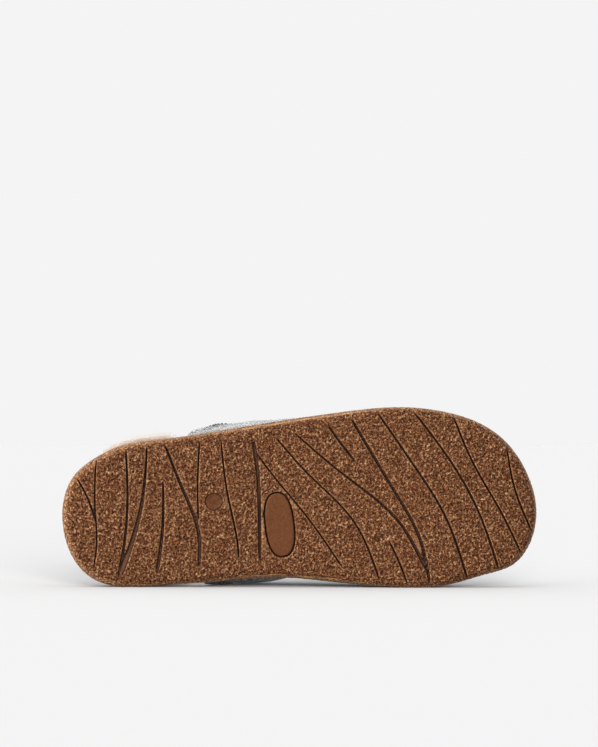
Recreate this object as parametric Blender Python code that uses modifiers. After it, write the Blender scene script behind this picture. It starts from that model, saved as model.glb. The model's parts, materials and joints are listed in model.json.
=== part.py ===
# Right-foot mule slipper lying on its inner side: rubber outsole, hollow felt upper and fleece insole
import math
from collections import namedtuple

import bmesh
import bpy
import numpy as np
from mathutils import Matrix

# Driving dimensions, in metres. Shoe axes: X from heel to toe, Y from tread to instep, Z to the outer side
LENGTH = 0.262
BALL_WIDTH = 0.0995
GAP = 0.0003

# Outsole: flat treads under heel and ball, a raised arch between them, a toe that springs up
HEEL_LIFT = 0.0015
HEEL_LIFT_END = 0.025
ARCH_RISE = 0.0012
ARCH_SPAN = (0.085, 0.160)
TOE_SPRING = 0.008
TOE_SPRING_START = 0.205
EDGE_BEVEL = 0.005
EDGE_BEVEL_HEIGHT = 0.006
WAIST_LIP = 0.0006
WAIST_LIP_SPAN = (0.080, 0.175)
WAIST_LIP_RUN = 0.020
WAIST_LIP_HEIGHT = 0.0012
SEAT_SHOULDER = 0.0014
WALL_LEAN = 0.00035
SPINE_SPAN = (0.036, 0.226)

# Tread relief: grooves that narrow downwards, an oval panel with a grooved rim and a shallow round recess
GROOVE_DEPTH = 0.0017
GROOVE_RUNOUT = 0.006
GROOVE_RUNOUT_OVERSHOOT = 0.0018
GROOVE_END_SHARE = 0.5
GROOVE_STEP = 0.010
GROOVE_MOUTH_HALF = 0.6
GROOVE_FLOOR_HALF = 0.4
CUTTER_CLEARANCE = 0.0015
RIM_CLEARANCE = 0.0018
PANEL_CENTRE = (0.1206, -0.0062)
PANEL_HALF = (0.0083, 0.0182)
PANEL_POWER = 2.5
PANEL_TURN = math.radians(6.4)
PANEL_RIM_WIDTH = 0.0012
PANEL_DEPTH = 0.0004
RECESS_CENTRE = (0.0841, 0.0066)
RECESS_RADIUS = 0.005
RECESS_DEPTH = 0.0006

# Upper: felt wall, hem at the topline, opening behind the instep
WALL = 0.003
FEATHER_INSET = 0.0016
FEATHER_TUCK = 0.001
TOPLINE_OUTER = 0.069
TOPLINE_INNER = 0.077
THROAT = 0.122
TOPLINE_POWER = 2.4
TOE_FAN_START = 0.224
RIDGE_SHARE = 0.46
WIDEST_SHARE = 0.25
DOME_POWER = 2.4
RIDGE_SLOPE_RUN = 0.005
HEM_WIDTH = 0.011
HEM_STEP = 0.0006

# Insole: fleece footbed, proud of the sole at the outer heel and tucked inside the upper
PAD_HEIGHT = 0.009
PAD_WIDEST_SHARE = 0.5
PAD_EDGE = 0.0022
PAD_CLEARANCE = 0.0005
LUMP_HEIGHT = 0.0006
LUMP_PITCH = 0.026

# Resting on the floor: parts of the length where the heel's and the ball's edges may touch it
HEEL_CONTACT_END = 0.090
BALL_CONTACT_START = 0.150
RESTING_ROUNDS = 12

# Fineness of the meshes: stations round the forms, and rows as shares of the way from the middle to the edge
SOLE_STATIONS = 44
PAD_STATIONS = 34
FAN_STATIONS = 15
PANEL_STATIONS = 28
RECESS_STATIONS = 20
OUTLINE_SAMPLES = 1000
TREAD_SHARES = (0.0, 0.45, 0.8, 1.0)
BEVEL_STEPS = 4
SEAT_SHARES = (1.0, 0.8, 0.5, 0.25, 0.0)
PAD_UNDER_SHARES = (0.0, 0.5, 1.0)
LOW_STEPS = 4
DOME_STEPS = 10
BODY_STEPS = 12
HEM_SHARES = (0.0, 0.5, 0.92, 1.0)
WELD = 0.00001
SHARP_ANGLE = math.radians(40)

OutlineRow = namedtuple("OutlineRow", "along outer inner")
SeatRow = namedtuple("SeatRow", "along height")
UpperRow = namedtuple("UpperRow", "along crown outer inner widest")
PadRow = namedtuple("PadRow", "along outer inner")
PadTopRow = namedtuple("PadTopRow", "share lift")
Groove = namedtuple("Groove", "width path")
Finish = namedtuple("Finish", "name colour roughness")

# Half widths of the sole either side of the heel-to-toe line: shares of LENGTH, then of BALL_WIDTH
OUTLINE = [OutlineRow(*row) for row in (
    (0.000, 0.000, 0.000),
    (0.022, 0.208, 0.236),
    (0.0645, 0.3085, 0.353),
    (0.1275, 0.386, 0.397),
    (0.229, 0.425, 0.386),
    (0.330, 0.464, 0.370),
    (0.458, 0.5175, 0.352),
    (0.583, 0.564, 0.381),
    (0.706, 0.5925, 0.406),
    (0.8015, 0.568, 0.399),
    (0.887, 0.4915, 0.342),
    (0.950, 0.353, 0.2865),
    (0.984, 0.197, 0.181),
    (1.000, 0.000, 0.000),
)]

# Height of the sole's top, on which insole and upper sit
SEAT = [SeatRow(*row) for row in (
    (0.00, 0.0220),
    (0.23, 0.0220),
    (0.46, 0.0186),
    (0.69, 0.0162),
    (0.86, 0.0170),
    (1.00, 0.0195),
)]

# Upper: height of its ridge, reach past the sole's edge on each side, height of its widest line
UPPER_FORM = [UpperRow(*row) for row in (
    (0.25, 0.0960, 0.0006, 0.0014, 0.034),
    (0.305, 0.0960, 0.0012, 0.0030, 0.041),
    (0.38, 0.0940, 0.0012, 0.0047, 0.047),
    (0.44, 0.0910, 0.0002, 0.0038, 0.048),
    (0.515, 0.0840, -0.0017, 0.0000, 0.044),
    (0.61, 0.0730, -0.0026, -0.0018, 0.038),
    (0.706, 0.0640, -0.0030, -0.0026, 0.034),
    (0.80, 0.0565, -0.0030, -0.0030, 0.032),
    (0.90, 0.0500, -0.0030, -0.0030, 0.031),
    (1.00, 0.0490, -0.0030, -0.0030, 0.031),
)]

# Insole behind the upper: reach past the sole's edge on each side
PAD_REACH = [PadRow(*row) for row in (
    (0.00, -0.0010, -0.0010),
    (0.07, -0.0004, -0.0010),
    (0.11, 0.0024, -0.0010),
    (0.215, 0.0024, -0.0010),
)]
PAD_TUCK_OUTER = (0.215, 0.250)
PAD_TUCK_INNER = (0.245, 0.280)

# Insole's top: rows as shares of the way to its edge, and their heights as shares of PAD_HEIGHT
PAD_TOP = [PadTopRow(*row) for row in (
    (1.0, 0.86),
    (0.8, 0.97),
    (0.5, 1.0),
    (0.0, 1.0),
)]

# Tread grooves: width in metres, then points as shares of LENGTH and of BALL_WIDTH
GROOVES = [Groove(*row) for row in (
    (0.0011, ((0.0725, 0.287), (0.070, 0.048), (0.074, -0.156), (0.068, -0.283))),
    (0.0011, ((0.034, 0.199), (0.056, 0.090), (0.071, -0.023))),
    (0.0012, ((0.137, 0.345), (0.140, 0.095), (0.134, -0.138), (0.121, -0.333))),
    (0.0013, ((0.179, 0.359), (0.171, 0.083), (0.147, -0.165), (0.124, -0.333))),
    (0.0011, ((0.213, 0.164), (0.2125, -0.080), (0.201, -0.324))),
    (0.0017, ((0.223, 0.372), (0.261, 0.120), (0.290, -0.093), (0.290, -0.279))),
    (0.0011, ((0.291, 0.381), (0.287, 0.111), (0.2885, -0.023))),
    (0.0012, ((0.3385, 0.394), (0.351, 0.111), (0.371, -0.173), (0.374, -0.252))),
    (0.0026, ((0.406, 0.394), (0.417, 0.066), (0.419, -0.235))),
    (0.0011, ((0.408, 0.367), (0.453, 0.208), (0.516, -0.009), (0.5935, -0.3075))),
    (0.0012, ((0.455, 0.429), (0.527, 0.207), (0.609, -0.019), (0.6655, -0.344))),
    (0.0015, ((0.497, 0.438), (0.595, 0.215), (0.715, -0.055), (0.767, -0.271))),
    (0.0016, ((0.6155, 0.5055), (0.705, 0.1075), (0.7565, -0.128), (0.779, -0.380))),
    (0.0018, ((0.568, 0.473), (0.593, 0.380), (0.6155, 0.2975))),
    (0.0011, ((0.692, -0.164), (0.713, -0.270), (0.7285, -0.380))),
    (0.0013, ((0.671, 0.551), (0.7495, 0.252), (0.8115, -0.009), (0.8545, -0.344))),
    (0.0013, ((0.7445, 0.560), (0.822, 0.2975), (0.880, 0.018), (0.9195, -0.3075))),
    (0.0013, ((0.829, 0.538), (0.866, 0.288), (0.928, 0.008), (0.9685, -0.217))),
    (0.0012, ((0.940, 0.361), (0.954, 0.162), (0.992, -0.100))),
)]

FINISHES = {
    "outsole": Finish("crumb_rubber", (0.175, 0.082, 0.040, 1.0), 0.6),
    "upper": Finish("grey_felt", (0.33, 0.33, 0.33, 1.0), 0.95),
    "insole": Finish("cream_fleece", (0.74, 0.66, 0.57, 1.0), 0.95),
}


def smooth_curve(knots, values):
    """Natural cubic through the values at the knots, as a function of an array."""
    knots = np.asarray(knots, float)
    values = np.asarray(values, float)
    step = np.diff(knots)
    slope = np.diff(values) / step
    system = np.eye(len(knots))
    right = np.zeros(len(knots))
    for row in range(1, len(knots) - 1):
        system[row, row - 1:row + 2] = step[row - 1], 2 * (step[row - 1] + step[row]), step[row]
        right[row] = 6 * (slope[row] - slope[row - 1])
    bend = np.linalg.solve(system, right)

    def curve(place):
        place = np.clip(np.asarray(place, float), knots[0], knots[-1])
        left = np.clip(np.searchsorted(knots, place) - 1, 0, len(step) - 1)
        before = place - knots[left]
        after = knots[left + 1] - place
        cubic = (bend[left] * after ** 3 + bend[left + 1] * before ** 3) / (6 * step[left])
        start = (values[left] / step[left] - bend[left] * step[left] / 6) * after
        end = (values[left + 1] / step[left] - bend[left + 1] * step[left] / 6) * before
        return cubic + start + end

    return curve


def column_curve(table, column):
    """Smooth curve of one column of a table over its along column."""
    return smooth_curve([row.along for row in table], [getattr(row, column) for row in table])


def ramp(place, start, end):
    """Smooth step from 0 at start to 1 at end."""
    share = np.clip((np.asarray(place, float) - start) / (end - start), 0, 1)
    return share * share * (3 - 2 * share)


def round_ends(along):
    """Angle that runs evenly round both ends of the outline."""
    return np.arccos(np.clip(1 - 2 * np.asarray(along, float), -1, 1))


OUTLINE_ANGLES = [float(round_ends(row.along)) for row in OUTLINE]
OUTER_EDGE = smooth_curve(OUTLINE_ANGLES, [row.outer * BALL_WIDTH for row in OUTLINE])
INNER_EDGE = smooth_curve(OUTLINE_ANGLES, [row.inner * BALL_WIDTH for row in OUTLINE])
SEAT_HEIGHT = column_curve(SEAT, "height")
CROWN_HEIGHT = column_curve(UPPER_FORM, "crown")
WIDEST_HEIGHT = column_curve(UPPER_FORM, "widest")
UPPER_REACH = {1: column_curve(UPPER_FORM, "outer"), -1: column_curve(UPPER_FORM, "inner")}
PAD_BACK_REACH = {1: column_curve(PAD_REACH, "outer"), -1: column_curve(PAD_REACH, "inner")}


def by_side(side, outer, inner):
    """Outer value where side is +1, inner value where it is -1."""
    return np.where(np.asarray(side) > 0, outer, inner)


def edge_plan(along, side):
    """Plan points (X, Z) of the sole's outline."""
    angle = round_ends(along)
    across = by_side(side, OUTER_EDGE(angle), -INNER_EDGE(angle))
    return np.stack(np.broadcast_arrays(np.asarray(along) * LENGTH, across), axis=-1)


def spine_plan(along, share=0.5):
    """Plan points on a line between the two edges, stopped short of heel and toe."""
    place = np.clip(np.asarray(along) * LENGTH, *SPINE_SPAN)
    angle = round_ends(place / LENGTH)
    across = share * OUTER_EDGE(angle) - (1 - share) * INNER_EDGE(angle)
    return np.stack([place, across], axis=-1)


def inset_plan(along, side, inset):
    """Outline moved towards the spine by inset, or away from it where inset is below zero."""
    edge = edge_plan(along, side)
    inward = spine_plan(along) - edge
    inward = inward / np.linalg.norm(inward, axis=-1, keepdims=True)
    return edge + inward * np.broadcast_to(inset, edge.shape[:-1])[..., None]


def share_plan(along, side, share, inset):
    """Points a share of the way from the spine to the outline's inset line."""
    spine = spine_plan(along)
    return spine + (inset_plan(along, side, inset) - spine) * share


def tread_rise(place):
    """Height of the tread's middle: rounded heel, flat heel seat, arch, flat ball, toe spring."""
    place = np.asarray(place, float)
    heel = HEEL_LIFT * np.clip(1 - place / HEEL_LIFT_END, 0, 1) ** 2
    arch_share = np.clip((place - ARCH_SPAN[0]) / (ARCH_SPAN[1] - ARCH_SPAN[0]), 0, 1)
    arch = ARCH_RISE * np.sin(np.pi * arch_share) ** 2
    toe_share = np.clip((place - TOE_SPRING_START) / (LENGTH - TOE_SPRING_START), 0, 1)
    return heel + arch + TOE_SPRING * toe_share ** 2


def seat_height(place):
    """Height of the sole's top at a place along the shoe."""
    return SEAT_HEIGHT(np.asarray(place) / LENGTH)


def solid_points(plan, height):
    """Shoe points from plan points and heights."""
    height = np.broadcast_to(height, plan.shape[:-1])
    return np.stack([plan[..., 0], height, plan[..., 1]], axis=-1)


def ring(count):
    """Stations from the heel along the outer side to the toe and back along the inner side."""
    turn = np.linspace(0, 2 * np.pi, 2 * count, endpoint=False)
    return (1 - np.cos(turn)) / 2, np.where(turn <= np.pi, 1, -1)


def outsole_rows():
    """Rows of points from the tread's middle, round the edge, to the middle of the seat."""
    along, side = ring(SOLE_STATIONS)
    place = along * LENGTH
    start, end = WAIST_LIP_SPAN
    lip = WAIST_LIP * ramp(place, start, start + WAIST_LIP_RUN) * ramp(place, end, end - WAIST_LIP_RUN)
    rows = []
    for share in TREAD_SHARES:
        plan = share_plan(along, side, share, EDGE_BEVEL)
        rows.append(solid_points(plan, tread_rise(plan[:, 0])))
    for turn in np.linspace(0, math.pi / 2, BEVEL_STEPS + 1)[1:]:
        plan = inset_plan(along, side, lip + (EDGE_BEVEL - lip) * (1 - math.sin(turn)))
        rows.append(solid_points(plan, tread_rise(plan[:, 0]) + EDGE_BEVEL_HEIGHT * (1 - math.cos(turn))))
    plan = inset_plan(along, side, 0.0)
    foot = tread_rise(plan[:, 0]) + EDGE_BEVEL_HEIGHT
    rows.append(solid_points(plan, foot + WAIST_LIP_HEIGHT))
    plan = inset_plan(along, side, WALL_LEAN)
    rows.append(solid_points(plan, seat_height(plan[:, 0]) - SEAT_SHOULDER))
    for share in SEAT_SHARES:
        plan = share_plan(along, side, share, SEAT_SHOULDER)
        rows.append(solid_points(plan, seat_height(plan[:, 0])))
    return np.array(rows)


def feather_inset(along, side):
    """How far inside the sole's edge the upper's lower edge stands."""
    reach = by_side(side, UPPER_REACH[1](along), UPPER_REACH[-1](along))
    return np.maximum(FEATHER_INSET, FEATHER_TUCK - reach)


def insole_rows():
    """Rows of points from the middle of the insole's underside, round its soft edge, to the top's middle."""
    along, side = ring(PAD_STATIONS)
    back = by_side(side, PAD_BACK_REACH[1](along), PAD_BACK_REACH[-1](along))
    tucked = -(feather_inset(along, side) + WALL + PAD_CLEARANCE)
    tuck = by_side(side, ramp(along, *PAD_TUCK_OUTER), ramp(along, *PAD_TUCK_INNER))
    inset = -(back + (tucked - back) * tuck)
    rows = []
    for share in PAD_UNDER_SHARES:
        plan = share_plan(along, side, share, np.maximum(inset, SEAT_SHOULDER) + PAD_EDGE)
        rows.append(solid_points(plan, seat_height(plan[:, 0]) + GAP))
    plan = inset_plan(along, side, inset)
    rows.append(solid_points(plan, seat_height(plan[:, 0]) + GAP + PAD_WIDEST_SHARE * PAD_HEIGHT))
    for row in PAD_TOP:
        plan = share_plan(along, side, row.share, inset + PAD_EDGE)
        lumps = np.sin(2 * np.pi * plan[:, 0] / LUMP_PITCH) * np.cos(2 * np.pi * plan[:, 1] / LUMP_PITCH)
        top = GAP + PAD_HEIGHT * row.lift + LUMP_HEIGHT * lumps
        rows.append(solid_points(plan, seat_height(plan[:, 0]) + top))
    return np.array(rows)


def ridge_fall():
    """Slope of the upper's ridge where the fan of sections round the toe starts."""
    here, before = CROWN_HEIGHT(np.array([TOE_FAN_START, TOE_FAN_START - RIDGE_SLOPE_RUN]) / LENGTH)
    return (here - before) / RIDGE_SLOPE_RUN


def upper_section(along, side, rise, swell):
    """Points of the upper's outside: a bulge from the sole to its widest line, then a dome to the ridge."""
    middle = spine_plan(np.minimum(along, TOE_FAN_START / LENGTH), RIDGE_SHARE)
    reach = by_side(side, UPPER_REACH[1](along), UPPER_REACH[-1](along)) + swell
    feather = inset_plan(along, side, feather_inset(along, side) - swell)
    widest = inset_plan(along, side, -reach)
    crown = CROWN_HEIGHT(np.minimum(along, TOE_FAN_START / LENGTH)) + swell
    low = np.clip(rise / WIDEST_SHARE, 0, 1)
    dome = np.clip((rise - WIDEST_SHARE) / (1 - WIDEST_SHARE), 0, 1) * np.pi / 2
    bulge = feather + (widest - feather) * np.sin(low * np.pi / 2)[..., None]
    plan = middle + (bulge - middle) * (np.cos(dome) ** (2 / DOME_POWER))[..., None]
    seat = seat_height(np.clip(feather[..., 0], 0, LENGTH)) + GAP
    side_height = seat + (WIDEST_HEIGHT(along) - seat) * low
    height = side_height + (crown - side_height) * np.sin(dome) ** (2 / DOME_POWER)
    height = height + ridge_fall() * np.maximum(plan[..., 0] - TOE_FAN_START, 0) * np.sin(dome)
    return solid_points(plan, height)


def upper_rows():
    """Grid of the upper's outside: rows from sole to ridge, columns from one topline end to the other."""
    low = np.linspace(0, WIDEST_SHARE, LOW_STEPS + 1)[:-1]
    rise = np.concatenate([low, np.linspace(WIDEST_SHARE, 1, DOME_STEPS + 1)])
    hem = np.array(HEM_SHARES) * HEM_WIDTH
    body = np.linspace(0, 1, BODY_STEPS + 1)[1:]
    swell = np.concatenate([np.full(len(hem) - 1, HEM_STEP), np.zeros(len(body) + 1)])
    flanks = {}
    for side, start in ((1, TOPLINE_OUTER), (-1, TOPLINE_INNER)):
        topline = start + (THROAT - start) * np.sin(rise * np.pi / 2) ** TOPLINE_POWER
        at_hem = topline[:, None] + hem
        past_hem = at_hem[:, -1:] + (TOE_FAN_START - at_hem[:, -1:]) * body
        along = np.concatenate([at_hem, past_hem], axis=1) / LENGTH
        flanks[side] = upper_section(along, side, np.broadcast_to(rise[:, None], along.shape), swell)
    start = float(round_ends(TOE_FAN_START / LENGTH))
    turn = np.linspace(start, 2 * np.pi - start, FAN_STATIONS)[1:-1]
    along = np.broadcast_to((1 - np.cos(turn)) / 2, (len(rise), len(turn)))
    side = np.broadcast_to(np.where(turn <= np.pi, 1, -1), along.shape)
    toe = upper_section(along, side, np.broadcast_to(rise[:, None], along.shape), 0.0)
    return np.concatenate([flanks[1], toe, flanks[-1][:, ::-1]], axis=1)


def tread_height(plan):
    """Height of the tread at plan points, with the rounded edge."""
    along, side = ring(OUTLINE_SAMPLES)
    outline = edge_plan(along, side)
    distance = np.linalg.norm(plan[:, None] - outline[None], axis=-1).min(axis=1)
    inward = np.clip(1 - distance / EDGE_BEVEL, 0, 1)
    return tread_rise(plan[:, 0]) + EDGE_BEVEL_HEIGHT * (1 - np.sqrt(1 - inward ** 2))


def groove_plan(points):
    """Evenly spaced plan points on a smooth curve through a groove's own points, and their places on it."""
    knots = np.array(points) * (LENGTH, BALL_WIDTH)
    reach = np.concatenate([[0], np.cumsum(np.linalg.norm(np.diff(knots, axis=0), axis=1))])
    place = np.linspace(0, reach[-1], max(5, round(reach[-1] / GROOVE_STEP) + 1))
    plan = np.stack([smooth_curve(reach, knots[:, axis])(place) for axis in (0, 1)], axis=-1)
    return plan, place


def groove_corners(clearance, depth):
    """Corners of a groove cutter's section: shares of its width sideways, heights from the tread inwards."""
    mouth = ((-GROOVE_MOUTH_HALF, -clearance), (GROOVE_MOUTH_HALF, -clearance))
    floor = ((GROOVE_FLOOR_HALF, depth), (-GROOVE_FLOOR_HALF, depth))
    return mouth + floor


def groove_points(plan, width, depth):
    """Four-cornered sections along a groove, wide below the tread and narrow at the groove's floor."""
    onward = np.gradient(plan, axis=0)
    onward = onward / np.linalg.norm(onward, axis=1, keepdims=True)
    sideways = np.stack([-onward[:, 1], onward[:, 0]], axis=1)
    surface = tread_height(plan)
    corners = []
    for offset, height in groove_corners(CUTTER_CLEARANCE, depth):
        corners.append(solid_points(plan + sideways * width[:, None] * offset, surface + height))
    return np.array(corners)


def grid_mesh(name, points, ring_columns=False, ring_rows=False, caps=False):
    """Mesh of quads over a grid of points; poles and seams are merged, and open ends can be capped."""
    rows, columns = points.shape[:2]
    index = np.arange(rows * columns).reshape(rows, columns)
    if ring_columns:
        index = np.concatenate([index, index[:, :1]], axis=1)
    if ring_rows:
        index = np.concatenate([index, index[:1]], axis=0)
    faces = np.stack([index[:-1, :-1], index[:-1, 1:], index[1:, 1:], index[1:, :-1]], axis=-1).reshape(-1, 4)
    faces = faces.tolist()
    if caps:
        faces += [index[:rows, 0].tolist(), index[:rows, columns - 1].tolist()]
    mesh = bpy.data.meshes.new(name)
    mesh.from_pydata(points.reshape(-1, 3).tolist(), [], faces)
    work = bmesh.new()
    work.from_mesh(mesh)
    bmesh.ops.remove_doubles(work, verts=work.verts, dist=WELD)
    if ring_columns or caps:
        bmesh.ops.recalc_face_normals(work, faces=work.faces)
    work.to_mesh(mesh)
    work.free()
    return mesh


def make_finish(finish):
    """Principled material of one colour and roughness."""
    material = bpy.data.materials.new(finish.name)
    material.use_nodes = True
    shader = material.node_tree.nodes["Principled BSDF"]
    shader.inputs["Base Color"].default_value = finish.colour
    shader.inputs["Roughness"].default_value = finish.roughness
    shader.inputs["Metallic"].default_value = 0.0
    material.diffuse_color = finish.colour
    return material


def add_part(name, mesh, collection, holder):
    """Sub-part in the shoe's collection, carried by the holder, with its own finish."""
    mesh.shade_smooth()
    mesh.set_sharp_from_angle(angle=SHARP_ANGLE)
    mesh.materials.append(make_finish(FINISHES[name]))
    part = bpy.data.objects.new(name, mesh)
    part.parent = holder
    collection.objects.link(part)
    return part


def add_cutter(name, mesh, collection, holder, target):
    """Hidden cutter that a Boolean takes out of the target."""
    cutter = bpy.data.objects.new(name, mesh)
    cutter.parent = holder
    cutter.hide_render = True
    cutter.display_type = "WIRE"
    collection.objects.link(cutter)
    cut = target.modifiers.new(name, "BOOLEAN")
    cut.operation = "DIFFERENCE"
    cut.solver = "EXACT"
    cut.object = cutter


def cut_grooves(outsole, collection, holder):
    """Tread grooves, each run out to nothing at both ends."""
    for number, groove in enumerate(GROOVES, start=1):
        plan, place = groove_plan(groove.path)
        fade = ramp(np.minimum(place, place[-1] - place), -GROOVE_RUNOUT_OVERSHOOT, GROOVE_RUNOUT)
        width = groove.width * (GROOVE_END_SHARE + (1 - GROOVE_END_SHARE) * fade)
        points = groove_points(plan, width, GROOVE_DEPTH * fade)
        mesh = grid_mesh(f"groove_{number:02d}", points, ring_rows=True, caps=True)
        add_cutter(mesh.name, mesh, collection, holder, outsole)


def panel_plan(offset):
    """Plan points of the panel's outline, moved outwards by offset: a turned superellipse."""
    angle = np.linspace(0, 2 * np.pi, PANEL_STATIONS, endpoint=False)
    cosine, sine = np.cos(angle), np.sin(angle)
    across = (PANEL_HALF[0] + offset) * np.sign(cosine) * np.abs(cosine) ** (2 / PANEL_POWER)
    up = (PANEL_HALF[1] + offset) * np.sign(sine) * np.abs(sine) ** (2 / PANEL_POWER)
    place = across * math.cos(PANEL_TURN) - up * math.sin(PANEL_TURN)
    shift = across * math.sin(PANEL_TURN) + up * math.cos(PANEL_TURN)
    return PANEL_CENTRE + np.stack([place, shift], axis=-1)


def recess_plan():
    """Plan points of the round recess."""
    angle = np.linspace(0, 2 * np.pi, RECESS_STATIONS, endpoint=False)
    return RECESS_CENTRE + RECESS_RADIUS * np.stack([np.cos(angle), np.sin(angle)], axis=-1)


def plug_mesh(name, centre, plan, depth):
    """Plug of the plan's outline that reaches depth into the tread."""
    middle = np.broadcast_to(np.array(centre), plan.shape)
    surface = float(tread_rise(centre[0]))
    rows = [
        solid_points(middle, surface - CUTTER_CLEARANCE),
        solid_points(plan, surface - CUTTER_CLEARANCE),
        solid_points(plan, surface + depth),
        solid_points(middle, surface + depth),
    ]
    return grid_mesh(name, np.array(rows), ring_columns=True)


def cut_panel(outsole, collection, holder):
    """Bare oval panel, set in a little inside a grooved rim."""
    floor = plug_mesh("panel_floor", PANEL_CENTRE, panel_plan(0.0), PANEL_DEPTH)
    add_cutter(floor.name, floor, collection, holder, outsole)
    rows = []
    surface = float(tread_rise(PANEL_CENTRE[0]))
    for offset, height in groove_corners(RIM_CLEARANCE, GROOVE_DEPTH):
        rows.append(solid_points(panel_plan(offset * PANEL_RIM_WIDTH), surface + height))
    rim = grid_mesh("panel_rim", np.array(rows), ring_columns=True, ring_rows=True)
    add_cutter(rim.name, rim, collection, holder, outsole)


def cut_recess(outsole, collection, holder):
    """Shallow bare round recess near the heel."""
    mesh = plug_mesh("round_recess", RECESS_CENTRE, recess_plan(), RECESS_DEPTH)
    add_cutter(mesh.name, mesh, collection, holder, outsole)


def lay_on_inner_side(sole, upper):
    """Turn that levels the sole's edge between heel and ball, then leans the shoe until the upper touches."""
    turn = np.eye(3)
    for _ in range(RESTING_ROUNDS):
        placed = sole @ turn.T
        back = placed[sole[:, 0] < HEEL_CONTACT_END]
        front = placed[sole[:, 0] > BALL_CONTACT_START]
        heel = back[np.argmin(back[:, 2])]
        ball = front[np.argmin(front[:, 2])]
        pitch = math.atan2(ball[2] - heel[2], ball[0] - heel[0])
        turn = np.array(Matrix.Rotation(pitch, 3, "Y")) @ turn
        placed = sole @ turn.T
        edge = placed[np.argmin(placed[:, 2])]
        reach = upper @ turn.T - edge
        behind = reach[reach[:, 1] > EDGE_BEVEL]
        lean = -np.min(np.arctan2(behind[:, 2], behind[:, 1]))
        turn = np.array(Matrix.Rotation(lean, 3, "X")) @ turn
    return turn


def main():
    for old in list(bpy.data.objects):
        bpy.data.objects.remove(old, do_unlink=True)
    parts = bpy.data.collections.new("mule_slipper")
    cutters = bpy.data.collections.new("mule_slipper_cutters")
    for collection in (parts, cutters):
        bpy.context.scene.collection.children.link(collection)
    holder = bpy.data.objects.new("shoe_frame", None)
    parts.objects.link(holder)

    sole_points = outsole_rows()
    upper_points = upper_rows()
    pad_points = insole_rows()
    turn = lay_on_inner_side(sole_points.reshape(-1, 3), upper_points.reshape(-1, 3))
    every = np.concatenate([rows.reshape(-1, 3) for rows in (sole_points, upper_points, pad_points)]) @ turn.T
    low = every.min(axis=0)
    high = every.max(axis=0)
    holder.rotation_euler = Matrix(turn.tolist()).to_euler()
    holder.location = (-(low[0] + high[0]) / 2, -(low[1] + high[1]) / 2, -low[2])

    outsole = add_part("outsole", grid_mesh("outsole", sole_points, ring_columns=True), parts, holder)
    cut_grooves(outsole, cutters, holder)
    cut_panel(outsole, cutters, holder)
    cut_recess(outsole, cutters, holder)

    upper = add_part("upper", grid_mesh("upper", upper_points), parts, holder)
    wall = upper.modifiers.new("wall", "SOLIDIFY")
    wall.thickness = WALL
    wall.offset = -1
    wall.use_even_offset = True

    add_part("insole", grid_mesh("insole", pad_points, ring_columns=True), parts, holder)


main()
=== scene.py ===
# %% [markdown]
# A mule slipper lying on its inner side
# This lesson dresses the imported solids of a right-foot slipper: a moulded crumb-rubber outsole, a felt
# upper that is open at the heel, and a fleece footbed and lining. The solids come in as a fixed frame.
# Every piece below is worked out with numpy in the shoe's own sizes and then laid exactly where the frame
# lies.

# %% Load the frame and keep its box
import json
import math
from collections import namedtuple

import bpy
import numpy as np
from mathutils import Matrix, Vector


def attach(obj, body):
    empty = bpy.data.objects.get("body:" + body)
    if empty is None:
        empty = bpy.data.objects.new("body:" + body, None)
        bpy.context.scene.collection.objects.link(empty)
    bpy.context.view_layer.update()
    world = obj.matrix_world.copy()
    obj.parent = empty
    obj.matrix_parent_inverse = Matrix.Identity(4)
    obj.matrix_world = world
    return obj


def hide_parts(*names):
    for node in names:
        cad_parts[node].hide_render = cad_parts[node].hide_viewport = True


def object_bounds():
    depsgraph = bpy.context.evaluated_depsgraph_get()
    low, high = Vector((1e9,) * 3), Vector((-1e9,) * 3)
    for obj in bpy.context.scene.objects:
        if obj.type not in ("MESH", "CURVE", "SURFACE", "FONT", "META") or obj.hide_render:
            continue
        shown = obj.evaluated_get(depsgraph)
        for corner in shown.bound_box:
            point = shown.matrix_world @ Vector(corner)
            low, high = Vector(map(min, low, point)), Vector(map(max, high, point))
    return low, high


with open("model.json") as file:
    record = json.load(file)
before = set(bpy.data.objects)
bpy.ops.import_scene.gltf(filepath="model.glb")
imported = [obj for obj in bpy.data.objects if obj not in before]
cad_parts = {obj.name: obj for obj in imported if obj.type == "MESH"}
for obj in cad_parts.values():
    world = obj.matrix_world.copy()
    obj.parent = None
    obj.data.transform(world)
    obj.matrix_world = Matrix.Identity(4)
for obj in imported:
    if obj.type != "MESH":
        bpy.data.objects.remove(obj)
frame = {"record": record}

MM_IN_A_METRE = 1000
CM3_IN_A_CUBIC_METRE = 1000000


def in_mm(metres, digits=2):
    """Metres as rounded millimetres, for printing."""
    return np.round(MM_IN_A_METRE * np.asarray(metres), digits).tolist()


CAD_BOX = [list(corner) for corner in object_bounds()]
CAD_LOW, CAD_HIGH = np.array(CAD_BOX)
print("CAD box, mm:", in_mm(CAD_LOW, 1), in_mm(CAD_HIGH, 1))

# %% [markdown]
# Camera
# The photo looks straight at the sole from a long way off, with the camera level and rolled by a fraction
# of a degree. The camera could be turned by eye until the picture fits, but measuring is surer: two pixel
# columns of the photo, at heel and toe, give its scale, and the row of the floor line gives the camera's
# height. A long lens far away keeps the outline free of perspective.

# %% Level camera at the photo's angle
FRAME_WIDTH = 598
FRAME_HEIGHT = 747
HEEL_COLUMN = 62.4
TOE_COLUMN = 537.4
FLOOR_ROW = 587.4
SENSOR = 36.0
CAMERA_DISTANCE = 3.0
CAMERA_ROLL = math.radians(0.125)
OUTLINE_DEPTH = 0.006

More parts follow.
